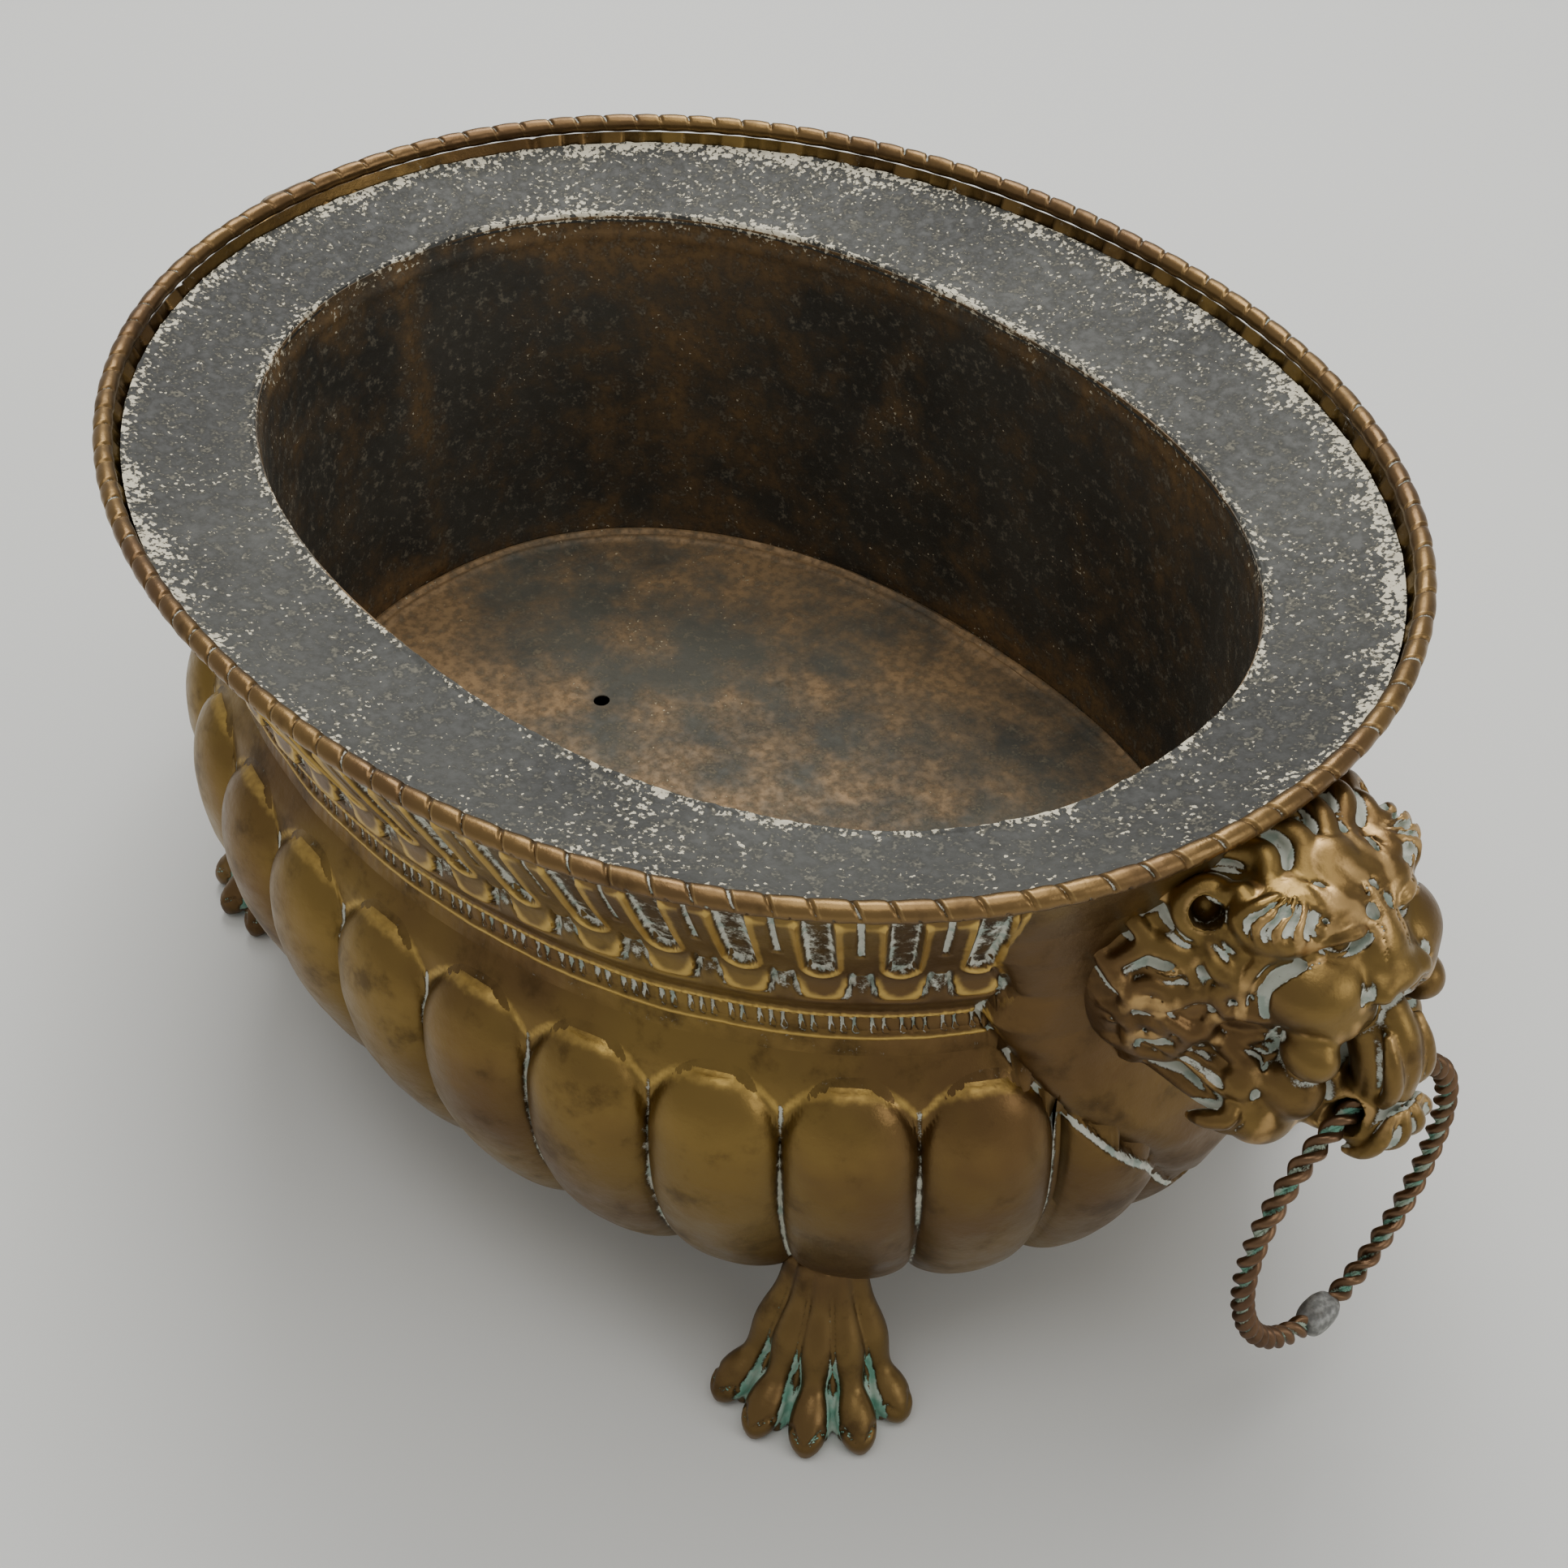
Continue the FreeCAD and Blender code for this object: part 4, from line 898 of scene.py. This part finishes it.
def cheeks(clay):
    """The crescent fold beside each pad, and its raised lip."""
    cut_both(clay, [(247, 17, 207.5), (243, 24, 206), (240, 27.5, 199), (241, 28, 191)],
             [1.0, 1.8, 2.0, 1.1], 1.2)
    both(clay, [(243, 20, 210.5), (238, 27.5, 209), (235.5, 31, 200), (236, 31, 190)],
         [1.0, 1.7, 1.8, 1.0], 1.4)


def mouth(clay):
    """The open mouth: a dark cleft on each side of the tongue, and the lips' corners."""
    cut_both(clay, [(261, 11.5, 189), (262.5, 11.5, 178), (262, 12, 166), (261, 13, 158)],
             [2.2, 3.0, 3.4, 4.0], 1.2)
    clay.strand([(250, 0, 186), (256, 0, 178), (260, 0, 168), (261, 0, 159)], [8, 8, 8, 7.5], 2.5)
    clay.strand([(259, 0, 187), (264, 0, 180), (266.5, 0, 171), (266.5, 0, 163)], [5, 5.2, 5.2, 4.6], 1.6)
    both(clay, [(264, 6, 184), (267.5, 6.6, 176), (269, 6.6, 168), (267, 6, 161)], [1.6, 2.6, 2.6, 1.8], 1.2)
    cut_both(clay, [(269.5, 3.2, 182), (271.5, 3.4, 172), (271, 3.4, 162)], [0.8, 1.2, 0.9], 1.0)
    both_blobs(clay, (252, 21.5, 180), (8.5, 6.5, 7.5), 3)


def beard(clay):
    """The lower jaw, and the beard's locks round it."""
    clay.blob((249, 0, 151), (17, 17, 11), 4)
    clay.blob((261, 0, 149.5), (10.5, 12.5, 8.5), 3)
    both_blobs(clay, (248, 20, 163), (9, 8, 10), 3)
    both_blobs(clay, (240, 22, 150), (11, 11, 11), 3)
    for k, (turn_out, low) in enumerate(((8, 139), (15, 138), (22, 139), (29, 142), (35, 147))):
        both(clay, [(245 - 2.6 * k, turn_out * 0.8, 158 + k), (250 - 2.6 * k, turn_out, 150 + k),
                    (246 - 2.8 * k, turn_out + 3, low + 5), (240 - 2.8 * k, turn_out + 1.5, low)],
             [1.8, 3.0, 2.8, 1.3], 1.1)
        cut_both(clay, [(252 - 2.6 * k, turn_out + 3.4, 155 + k), (250 - 2.8 * k, turn_out + 5, 146 + k),
                        (243 - 2.8 * k, turn_out + 5, low + 2)], [0.6, 1.2, 0.7], 0.9)
    for k, spread in enumerate((3.0, 8.5)):
        both(clay, [(271 - k, spread * 0.6, 158), (272.5 - 2 * k, spread, 152),
                    (268 - 2 * k, spread * 1.25, 144.5), (262, spread * 1.3, 142)], [1.6, 2.6, 2.4, 1.4], 1.2)
    cut_both(clay, [(272, 5.8, 157), (272.5, 7.2, 150), (267, 8.4, 143)], [0.8, 1.2, 0.9], 1.0)


def ears(clay):
    """Curled rims round a dark hole."""
    ear = np.array([219.0, 29.0, 213.5])
    facing = np.array([0.62, 0.62, 0.48])
    across = np.cross(facing, (0, 0, 1))
    across /= np.linalg.norm(across)
    upwards = np.cross(across, facing)
    rim = [tuple(ear + 6.6 * (math.cos(a) * across + math.sin(a) * upwards) + 0.12 * k * facing)
           for k, a in enumerate(np.linspace(-0.6, 2 * math.pi - 0.9, 10))]
    both_blobs(clay, tuple(ear - 2.0 * facing), 8.0, 2.5)
    both(clay, rim, np.linspace(3.2, 2.2, 10), 1.2)
    both_blobs(clay, tuple(ear + 3.0 * facing), 4.6, 1.0, carve=True)
    both_blobs(clay, tuple(ear - 1.5 * facing), 3.8, 1.0, carve=True)


FORELOCKS = [
    [(231, -3, 223), (237, -5, 222), (242, -3, 220), (246, -1, 217)],
    [(231, 9, 223), (237, 7, 222), (242, 5, 220), (246, 3.5, 217)],
    [(233, -14, 221), (239, -15, 220), (243, -12, 219), (247, -7, 216)],
    [(233, 15, 221), (239, 16, 220), (243, 12, 219), (247, 8, 216)],
    [(236, -24, 217), (240, -24, 214), (243, -20, 213)],
    [(236, 24, 217), (240, 24, 214), (243, 20, 213)],
    [(224, -33, 206), (229, -34, 203), (232, -31, 199), (230, -34, 194), (233, -33, 189)],
    [(224, 33, 206), (229, 34, 203), (232, 31, 199), (230, 34, 194), (233, 33, 189)],
    [(212, -20, 221), (217, -14, 224), (223, -13, 224), (228, -17, 221), (233, -22, 217)],
    [(214, -8, 223), (219, -4, 226), (226, -3, 225), (231, -8, 222), (237, -11, 219)],
    [(214, 4, 223), (219, 8, 226), (226, 6, 225), (231, 2, 223), (238, 4, 220)],
    [(213, 16, 222), (218, 19, 224), (224, 16, 225), (229, 11, 223), (236, 12, 219)],
    [(220, 25, 219), (226, 22, 222), (231, 20, 222), (236, 24, 218)],
    [(220, -27, 218), (226, -24, 220), (229, -28, 216), (234, -27, 212)],
    [(228, -29, 210), (232, -27, 206), (231, -31, 201), (234, -31, 196)],
    [(228, 29, 210), (232, 27, 206), (231, 31, 201), (234, 31, 196)],
]


def head_of_hair(clay):
    """Thick curls over the brow, each with a groove beside it."""
    for lock in FORELOCKS:
        part = np.linspace(0, 1, len(lock))
        clay.strand(lock, np.interp(part, [0, 0.5, 1], [2.6, 3.8, 1.8]), 1.4)
        beside = [(x + 2.2, y + 3.4, z - 0.4) for x, y, z in lock]
        clay.strand(beside, np.interp(part, [0, 0.5, 1], [0.8, 1.5, 0.7]), 1.2, carve=True)


def ring_room(clay):
    """Room for the ring at every angle of its swing, and the bore that holds it."""
    bore = [(RING_X, y, RING_TOP) for y in (-24, 0, 24)]
    clay.strand(bore, RING_ROPE + 0.9, 0.6, carve=True)
    both_blobs(clay, (RING_X + 1, 17, RING_TOP + 1.0), (8.5, 5.0, 7.0), 1.5, carve=True)
    turns = np.radians([16, 24, 32, 40, 50, 62, 76])
    across, drop = ring_point(turns)
    for degrees in range(-22, 104, 6):
        lean = math.radians(degrees)
        line = [(RING_X + d * math.sin(lean), y, RING_TOP - d * math.cos(lean)) for y, d in zip(across, drop)]
        both(clay, line, RING_ROPE + 0.8, 0.5, carve=True)


def lion_clay():
    """The right lion's head as clay. The left one is its mirror image."""
    clay = Clay((188, -60, 128), (280, 60, 238), 0.8)
    for centre, radii in HEAD_MASSES:
        clay.blob(centre, radii, 3)
    mane_locks(clay)
    for feature in (nose_and_pads, comb_brow, eyes, cheeks, mouth, beard, ears, head_of_hair):
        feature(clay)
    ring_room(clay)
    rim = np.linspace(-62, 62, 40)
    x, y, nx, ny = RIM.at(QUARTER + rim)
    line = np.column_stack([x, y, np.full_like(x, RIM_Z)])
    clay.strand(line, BEAD_RADIUS + 0.3, 0.3, carve=True)
    return clay


# The radius of the pot's end, seen from above.
END_BOW = 136.0


def behind_plate(clay, depth):
    """Clears the clay that would lie inside the pot, this far behind the end plate's face."""
    plate = np.array(PLATE_LINE)
    height = clay.axes[2][None, None, :]
    back = RIM_A - np.interp(-height, -plate[:, 1], plate[:, 0]) - depth
    bow = (clay.axes[1][None, :, None] ** 2) / (2 * END_BOW)
    wall = clay.axes[0][:, None, None] - (back - bow)
    above = clay.axes[2][None, None, :] - (RIM_Z + BEAD_RADIUS - 1.0)
    clay.field = np.maximum(np.maximum(clay.field, -wall), above).astype(np.float32)


# ---- Paws ----
PAW_ROOT = (144.0, -89.0, 54.0)
PAW_TIPS = [(136.7, -131.4), (154.3, -132.3), (170.5, -124.8), (181.3, -111.0), (181.3, -93.7)]
# The groove over each claw: ahead, aside and up from the knuckle.
CLAW_ARCH = [(2.6, -5.6, 0.5), (4.6, -3.0, 4.6), (5.0, 0, 5.8), (4.6, 3.0, 4.6), (2.6, 5.6, 0.5)]
PAW_HEIGHTS = [(0, 54), (0.25, 42), (0.45, 29), (0.65, 16.5), (0.82, 9.2), (0.93, 6.2), (1.0, 3.2)]
PAW_REACH = [(0, 0), (0.25, 0.12), (0.45, 0.32), (0.65, 0.58), (0.82, 0.82), (0.93, 0.94), (1.0, 1.02)]


def toe_line(tip, lower=0.0, steps=(0, 0.25, 0.45, 0.65, 0.82, 0.93, 1.0)):
    """A toe's line, from the ankle to its tip."""
    tip = np.array(tip)
    root = np.array(PAW_ROOT[:2])
    way = (tip - root) / np.linalg.norm(tip - root)
    start = root + 13.0 * way
    line = []
    for t in steps:
        reach = np.interp(t, *zip(*PAW_REACH))
        spot = start + (tip - 2.5 * way - start) * reach
        line.append((spot[0], spot[1], np.interp(t, *zip(*PAW_HEIGHTS)) - lower))
    return line


def toe(clay, tip):
    """A knuckled toe with its claw: two slanting grooves and an arched one."""
    clay.strand(toe_line(tip), [3.2, 3.8, 5.6, 4.0, 6.3, 5.6, 3.2], 0.8)
    line = np.array(toe_line(tip, steps=(0.55, 0.84, 0.9, 0.96, 1.0)))
    way = line[-1] - line[1]
    way[2] = 0
    way /= np.linalg.norm(way)
    side = np.array([-way[1], way[0], 0])
    for hand in (-1, 1):
        a = line[1] + way * 3.6 + side * hand * 4.8 + (0, 0, 2.6)
        b = line[1] + way * 8.2 + side * hand * 1.2 + (0, 0, -0.5)
        clay.strand([tuple(a), tuple(b)], 0.8, 0.6, carve=True)
    arch = [tuple(line[1] + way * ahead + side * aside + (0, 0, up)) for ahead, aside, up in CLAW_ARCH]
    clay.strand(arch, 0.7, 0.5, carve=True)


def paw_clay():
    """The front right paw: five knuckled toes with claws, joined by a web over a hollow."""
    clay = Clay((112, -142, -1), (194, -70, 62), 0.7)
    clay.strand([PAW_ROOT, (147, -92.5, 36), (151, -97, 20)], [9.5, 9.5, 12.5], 3)
    tips = [np.array(t) for t in PAW_TIPS]
    for a, b in zip(tips[:-1], tips[1:]):
        for part in (0.25, 0.5, 0.75):
            middle = a + (b - a) * part
            back = 0.80 if part == 0.5 else 0.88
            middle = np.array(PAW_ROOT[:2]) + (middle - np.array(PAW_ROOT[:2])) * back
            clay.strand(toe_line(middle, 2.0), [2.4, 2.6, 3.2, 3.6, 3.8, 3.4, 2.4], 1.2)
    for tip in tips:
        toe(clay, tip)
    clay.strand([(146, -91, -4), (151, -97, 3), (154, -101, 5)], [12, 12, 12], 2, carve=True)
    floor = 0.05 - clay.axes[2][None, None, :]
    clay.field = np.maximum(clay.field, floor).astype(np.float32)
    return clay


# ---- Ring handles ----
STRAND_RADIUS, TWIST_RADIUS, TWIST_PITCH = 1.86, 1.55, 13.2


def ring_mesh():
    """Two strands twisted round each other along the ring's egg-shaped line."""
    count, around = 620, 16
    fine = np.linspace(0, 2 * math.pi, 4001)
    across, drop = ring_point(fine)
    run = np.concatenate([[0], np.cumsum(np.hypot(np.diff(across), np.diff(drop)))])
    turns = round(run[-1] / TWIST_PITCH)
    even = np.linspace(0, run[-1], count, endpoint=False)
    turn = np.interp(even, run, fine)
    y, d = ring_point(turn)
    dy, dd = np.gradient(y), np.gradient(d)
    size = np.hypot(dy, dd)
    out = np.stack([np.zeros(count), dd / size, dy / size], axis=1)
    along = np.stack([np.zeros(count), dy / size, -dd / size], axis=1)
    side = np.cross(along, out)
    centre = np.stack([np.full(count, RING_X), y, RING_TOP - d], axis=1)
    phase = 2 * math.pi * turns * even / run[-1]
    points, faces, hollow, proud = [], [], [], []
    spin = np.linspace(0, 2 * math.pi, around, endpoint=False)
    for k in (0, 1):
        turn_at = phase + math.pi * k
        away = np.cos(turn_at)[:, None] * out + np.sin(turn_at)[:, None] * side
        over = -np.sin(turn_at)[:, None] * out + np.cos(turn_at)[:, None] * side
        core = centre + TWIST_RADIUS * away
        rim = np.cos(spin)[None, :, None] * away[:, None, :] + np.sin(spin)[None, :, None] * over[:, None, :]
        tube = core[:, None, :] + STRAND_RADIUS * rim
        start = len(points) * count * around
        points.append(tube.reshape(-1, 3))
        faces += tube_faces(count, around, start)
        # The crevice between the strands takes residue and, through the brass, painted shade.
        pit = smoothstep((-np.cos(spin) + 0.25) / 0.9)
        pit += 0.25 * k * bell((np.sin(spin) - 0.85) / 0.4)
        patch = 0.5 + 0.5 * lattice_noise(tube, 16.0, 21)
        hollow.append((pit[None, :] * (0.35 + 0.45 * patch)).ravel())
        proud.append(np.broadcast_to(np.clip(np.cos(spin), 0, 1) * 0.35, (count, around)).ravel())
    return np.concatenate(points), faces, np.clip(np.concatenate(hollow), 0, 1), np.concatenate(proud)


def solder_lump():
    """The ragged lump of solder that closes the ring."""
    low, high = box_mm("right_ring_joint")
    middle, half = (low + high) / 2, (high - low) / 2
    rows, columns = 36, 48
    tilt = np.linspace(0.001, math.pi - 0.001, rows)[:, None]
    spin = np.linspace(0, 2 * math.pi, columns, endpoint=False)[None, :]
    round_x, round_z = np.sin(tilt) * np.cos(spin), np.sin(tilt) * np.sin(spin)
    way = np.stack(np.broadcast_arrays(round_x, np.cos(tilt), round_z), axis=-1)
    square = (np.sum(abs(way) ** 3.0, axis=-1, keepdims=True)) ** (-1 / 3.0)
    points = way * square * (half * 0.93)
    ragged = 0.05 * lattice_noise(points + 50, 3.0, 31) + 0.04 * lattice_noise(points + 50, 6.0, 32)
    points *= 1 + ragged[..., None]
    faces = grid_faces(rows, columns, wrap=True).tolist()
    faces.append(list(range(columns))[::-1])
    faces.append([(rows - 1) * columns + j for j in range(columns)])
    return points.reshape(-1, 3) + middle, turned_over(faces)


# ---- Zinc liner ----
LINER_LOW, LINER_HIGH = box_mm("liner_wall")
FLANGE_LOW, FLANGE_HIGH = box_mm("liner_flange")
FLOOR_Z = LINER_LOW[2]
LINER_POWER = 2.24
LIP = 1.2
FLARE_X, FLARE_Y = 1.6, 2.8
MOUTH = Oval(LINER_HIGH[0] - LIP, LINER_HIGH[1] - LIP, LINER_POWER)
FOOT = Oval(LINER_HIGH[0] + FLARE_X, LINER_HIGH[1] + FLARE_Y, LINER_POWER)
LINER_SHEET = 0.9
LINER_COLUMNS = 900
LINER_BAND = 212
DRAIN = (-79.0, -1.0)
DRAIN_RADIUS = 3.0
LAP_TURN = 270
PIN = (-39.0, 53.0)


def flange():
    """The sloping flange between the rim and the liner's mouth, with a rolled inner edge."""
    turn = np.linspace(0, 2 * math.pi, LINER_COLUMNS, endpoint=False)
    along = np.interp(turn, RIM.turn, RIM.lengths)
    x, y, nx, ny = RIM.at(along)
    inwards = RIM_A - FLANGE_HIGH[0] - 0.5
    outer_x, outer_y = x - nx * inwards, y - ny * inwards
    inner_x, inner_y = MOUTH.by_turn(turn)
    v = np.linspace(0, 1, 62)[:, None]
    roll = 0.6 * bell((v - 0.975) / 0.02) - 1.6 * smoothstep((v - 0.985) / 0.015)
    sag = -0.9 * np.sin(math.pi * v) + roll
    z = FLANGE_HIGH[2] - (FLANGE_HIGH[2] - FLANGE_LOW[2] - 0.6) * v + sag
    px, py = outer_x * (1 - v) + inner_x * v, outer_y * (1 - v) + inner_y * v
    place = np.stack(np.broadcast_arrays(px, py, z), axis=-1)
    rough = lattice_noise(place, 30.0, 41) * 0.7 + lattice_noise(place, 4.0, 42) * 0.12
    crumbs = np.clip(lattice_noise(place, 2.6, 43), 0, 1)
    crumbly = (bell(v / 0.03) + bell((v - 0.97) / 0.03)) * crumbs * 0.7
    place[..., 2] += rough * smoothstep(v / 0.2) + crumbly
    crust = 0.85 * bell(v / 0.16) + 0.7 * bell((v - 0.98) / 0.07) + 0.25 * lattice_noise(place, 55.0, 44)
    back = thinned(place - (0, 0, LINER_SHEET), 4)
    points, faces = shell(place, back, wrap=True)
    marks = with_back({"crust": np.clip(crust, 0, 1), "mud": np.zeros_like(crust)}, back)
    make_piece("liner_flange_sheet", points, faces, marks, ZINC_FLANGE, "liner", ["liner_flange"])


def liner_wall():
    """The liner's wall, a little buckled, with an upright lap seam."""
    turn = np.linspace(0, 2 * math.pi, LINER_COLUMNS, endpoint=False)
    top_x, top_y = MOUTH.by_turn(turn)
    low_x, low_y = FOOT.by_turn(turn)
    v = np.linspace(0, 1, 90)[:, None]
    top = FLANGE_LOW[2] + 0.2
    z = top + (FLOOR_Z + 0.4 - top) * v
    px, py = top_x * (1 - v) + low_x * v, top_y * (1 - v) + low_y * v
    place = np.stack(np.broadcast_arrays(px, py, z), axis=-1)
    size = np.hypot(px, py)
    outward = np.stack([px / size, py / size, np.zeros_like(px)], axis=-1)
    arc = (turn - math.radians(LAP_TURN))[None, :] * size
    lap = -0.9 * smoothstep(arc / 1.2 + 0.5) * smoothstep((16 - arc) / 14)
    buckle = 0.9 * lattice_noise(place, 60.0, 51) + 0.35 * lattice_noise(place, 18.0, 52) + lap
    bands = -0.5 * bell((z - LINER_BAND) / 1.6)
    fade = smoothstep(v / 0.05) * smoothstep((1 - v) / 0.04)
    inside = place + outward * (buckle * fade + bands)[..., None]
    back = thinned(inside + outward * LINER_SHEET, 6)
    points, faces = shell(inside, back, wrap=True)
    crust = 0.75 * bell(v / 0.05) + 0.35 * bell((v - 1) / 0.03) + 0.3 * lattice_noise(place, 40.0, 53)
    mud = 0.5 * bell((v - 1) / 0.1) + 0.5 * lattice_noise(place, 70.0, 54)
    mud = mud + 0.5 * bell(v / 0.12) + 0.3 * bell(arc / 6)
    marks = with_back({"crust": np.clip(crust, 0, 1), "mud": np.clip(mud, 0, 1)}, back)
    faces = turned_over(faces)
    make_piece("liner_wall_sheet", points, faces, marks, ZINC_WALL, "liner", ["liner_wall"])


def liner_bottom():
    """The liner's bottom, with a folded seam round it, a drain hole and dried earth."""
    turn = np.linspace(0, 2 * math.pi, 700, endpoint=False)
    edge_x, edge_y = FOOT.by_turn(turn)
    way = np.stack([edge_x - DRAIN[0], edge_y - DRAIN[1]], axis=-1)
    length = np.linalg.norm(way, axis=-1)
    unit = way / length[:, None]
    v = np.linspace(0, 1, 110)[:, None] ** 1.15
    reach = DRAIN_RADIUS + (length - DRAIN_RADIUS + 0.3) * v
    to_edge = length - reach
    px, py = DRAIN[0] + unit[:, 0] * reach, DRAIN[1] + unit[:, 1] * reach
    place = np.stack([px, py, np.full_like(px, FLOOR_Z)], axis=-1)
    earth = 0.5 * lattice_noise(place, 22.0, 61) + 0.18 * lattice_noise(place, 6.0, 62)
    seam = 1.5 * bell((to_edge - 2.2) / 1.3) + 1.1 * bell((to_edge - 6.4) / 1.2)
    dish = 0.8 * bell((reach - DRAIN_RADIUS) / 4.0)
    pin = 2.2 * bell(np.hypot(px - PIN[0], py - PIN[1]) / 1.6)
    place[..., 2] += earth * smoothstep(to_edge / 8) + seam + pin - dish * 0.6
    below = place.copy()
    below[..., 2] = FLOOR_Z - LINER_SHEET - 0.4
    back = thinned(below, 10)[::-1]
    points, faces = shell(place[::-1], back, wrap=True)
    front = smoothstep((20 - place[..., 1]) / 110)
    mud = np.clip(0.85 * front + 0.4 * lattice_noise(place, 45.0, 63) + 0.4 * bell(to_edge / 7), 0, 1)
    crust = np.clip(0.35 * lattice_noise(place, 50.0, 64) + 0.2 * bell(to_edge / 5), 0, 1)
    marks = with_back({"crust": crust[::-1], "mud": mud[::-1]}, back)
    make_piece("liner_bottom_sheet", points, faces, marks, ZINC_BOTTOM, "liner", ["liner_bottom"])


# ---- Studio: camera, light and floor ----
CAMERA_PLACE = (0.466, -0.380, 0.640)
CAMERA_RIGHT, CAMERA_UP = (0.6510, 0.7586, -0.0293), (-0.5115, 0.4668, 0.7216)
CAMERA_BACK = (0.5610, -0.4547, 0.6918)
FLOOR_HALF = 6.0
# Each lamp: its name, its place, what it faces, its size and its power.
LAMPS = [("key", (-0.9, 0.9, 1.9), (0, 0, 0.1), 1.2, 33.0),
         ("top", (0.3, -0.1, 2.3), (0, 0, 0.0), 1.6, 20.0),
         ("side", (1.9, 0.5, 0.9), (0.1, 0, 0.1), 1.0, 7.0)]


def studio():
    """A camera that looks down on the pot from its front right, a pale floor and soft light."""
    scene = bpy.context.scene
    data = bpy.data.cameras.new("camera")
    data.lens, data.sensor_width = 53.89, 36.0
    data.shift_x, data.shift_y = 0.0284, 0.0349
    camera = bpy.data.objects.new("camera", data)
    turned = Matrix((CAMERA_RIGHT, CAMERA_UP, CAMERA_BACK)).transposed().to_4x4()
    camera.matrix_world = Matrix.Translation(CAMERA_PLACE) @ turned
    scene.collection.objects.link(camera)
    scene.camera = camera

    mesh = bpy.data.meshes.new("floor")
    corners = [(FLOOR_HALF * x, FLOOR_HALF * y, 0) for x, y in ((-1, -1), (1, -1), (1, 1), (-1, 1))]
    mesh.from_pydata(corners, [], [(0, 1, 2, 3)])
    floor = bpy.data.objects.new("floor", mesh)
    scene.collection.objects.link(floor)
    p = Paint("backdrop")
    colour = p.mix(p.noise(2.0, 2), (0.66, 0.665, 0.64), (0.72, 0.72, 0.69))
    mesh.materials.append(p.finish(colour, 0.0, 0.85, p.bump(p.noise(40, 2), 0.0002, 0.1)))

    world = bpy.data.worlds.new("studio")
    world.use_nodes = True
    background = world.node_tree.nodes["Background"]
    background.inputs["Color"].default_value = (0.89, 0.885, 0.87, 1)
    background.inputs["Strength"].default_value = 0.62
    scene.world = world
    for name, place, aim, size, power in LAMPS:
        light = bpy.data.lights.new(name, "AREA")
        light.energy, light.size = power, size
        lamp = bpy.data.objects.new(name, light)
        scene.collection.objects.link(lamp)
        towards = np.array(place) - np.array(aim)
        lamp.location = place
        lamp.rotation_mode = "QUATERNION"
        lamp.rotation_quaternion = Vector(tuple(towards)).to_track_quat("Z", "Y")


# ---- The object ----
studio()
for cad_node, material in (("base_plate", BRASS), ("rim_wire", STEEL),
                           ("right_mask_nuts", STEEL), ("left_mask_nuts", STEEL)):
    node_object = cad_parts[cad_node]
    node_object.data.materials.clear()
    node_object.data.materials.append(material)

body_panel("front_panel_skin", -PANEL_HALF, PANEL_HALF)
body_panel("rear_panel_skin", 2 * QUARTER - PANEL_HALF, 2 * QUARTER + PANEL_HALF)
body_panel("right_end_panel_skin", PANEL_HALF, 2 * QUARTER - PANEL_HALF)
body_panel("left_end_panel_skin", 2 * QUARTER + PANEL_HALF, 4 * QUARTER - PANEL_HALF)
rim_bead()

lion = lion_clay()
behind_plate(lion, 3.0)
lion_mesh = lion.surface()
# The hollow mark is cavity occlusion: residue and, through the brass, painted shade in the recesses.
lion_hollow, lion_proud = lion.marks(lion_mesh[0], (2.0, 4.5))
lion_marks = {"hollow": np.clip(lion_hollow * 1.55 - 0.12, 0, 1),
              "proud": np.clip(lion_proud * 1.2 - 0.25, 0, 1)}
casting("right_lion_head", lion_mesh, (), lion_marks, CAST, "right_lion_mask")
casting("left_lion_head", lion_mesh, (0,), lion_marks, CAST, "left_lion_mask")

paw = paw_clay()
paw_mesh = paw.surface()
# The hollow mark is cavity occlusion: residue and, through the brass, painted shade in the recesses.
paw_hollow, paw_proud = paw.marks(paw_mesh[0], (1.5, 4.0))
paw_marks = {"hollow": np.clip(paw_hollow * 1.9 - 0.1, 0, 1), "proud": np.clip(paw_proud * 1.1 - 0.3, 0, 1)}
for end, flips_x in (("right", ()), ("left", (0,))):
    for side, flips_y in (("front", ()), ("rear", (1,))):
        casting(f"{end}_{side}_claw_foot", paw_mesh, flips_x + flips_y, paw_marks, PAW_BRASS,
                f"paw_{side}_{end}")

ring_points, ring_faces, ring_hollow, ring_proud = ring_mesh()
lump_points, lump_faces = solder_lump()
for end in ("right", "left"):
    flip = end == "left"
    points = mirrored_points(ring_points, 0) if flip else ring_points
    faces = turned_over(ring_faces) if flip else ring_faces
    make_piece(f"{end}_rope_ring", points, faces, {"hollow": ring_hollow, "proud": ring_proud}, RING_BRASS,
               f"{end}_ring", [f"{end}_ring"])
    points = mirrored_points(lump_points, 0) if flip else lump_points
    faces = turned_over(lump_faces) if flip else lump_faces
    make_piece(f"{end}_ring_solder", points, faces, {}, SOLDER,
               f"{end}_ring", [f"{end}_ring_joint"])

flange()
liner_wall()
liner_bottom()
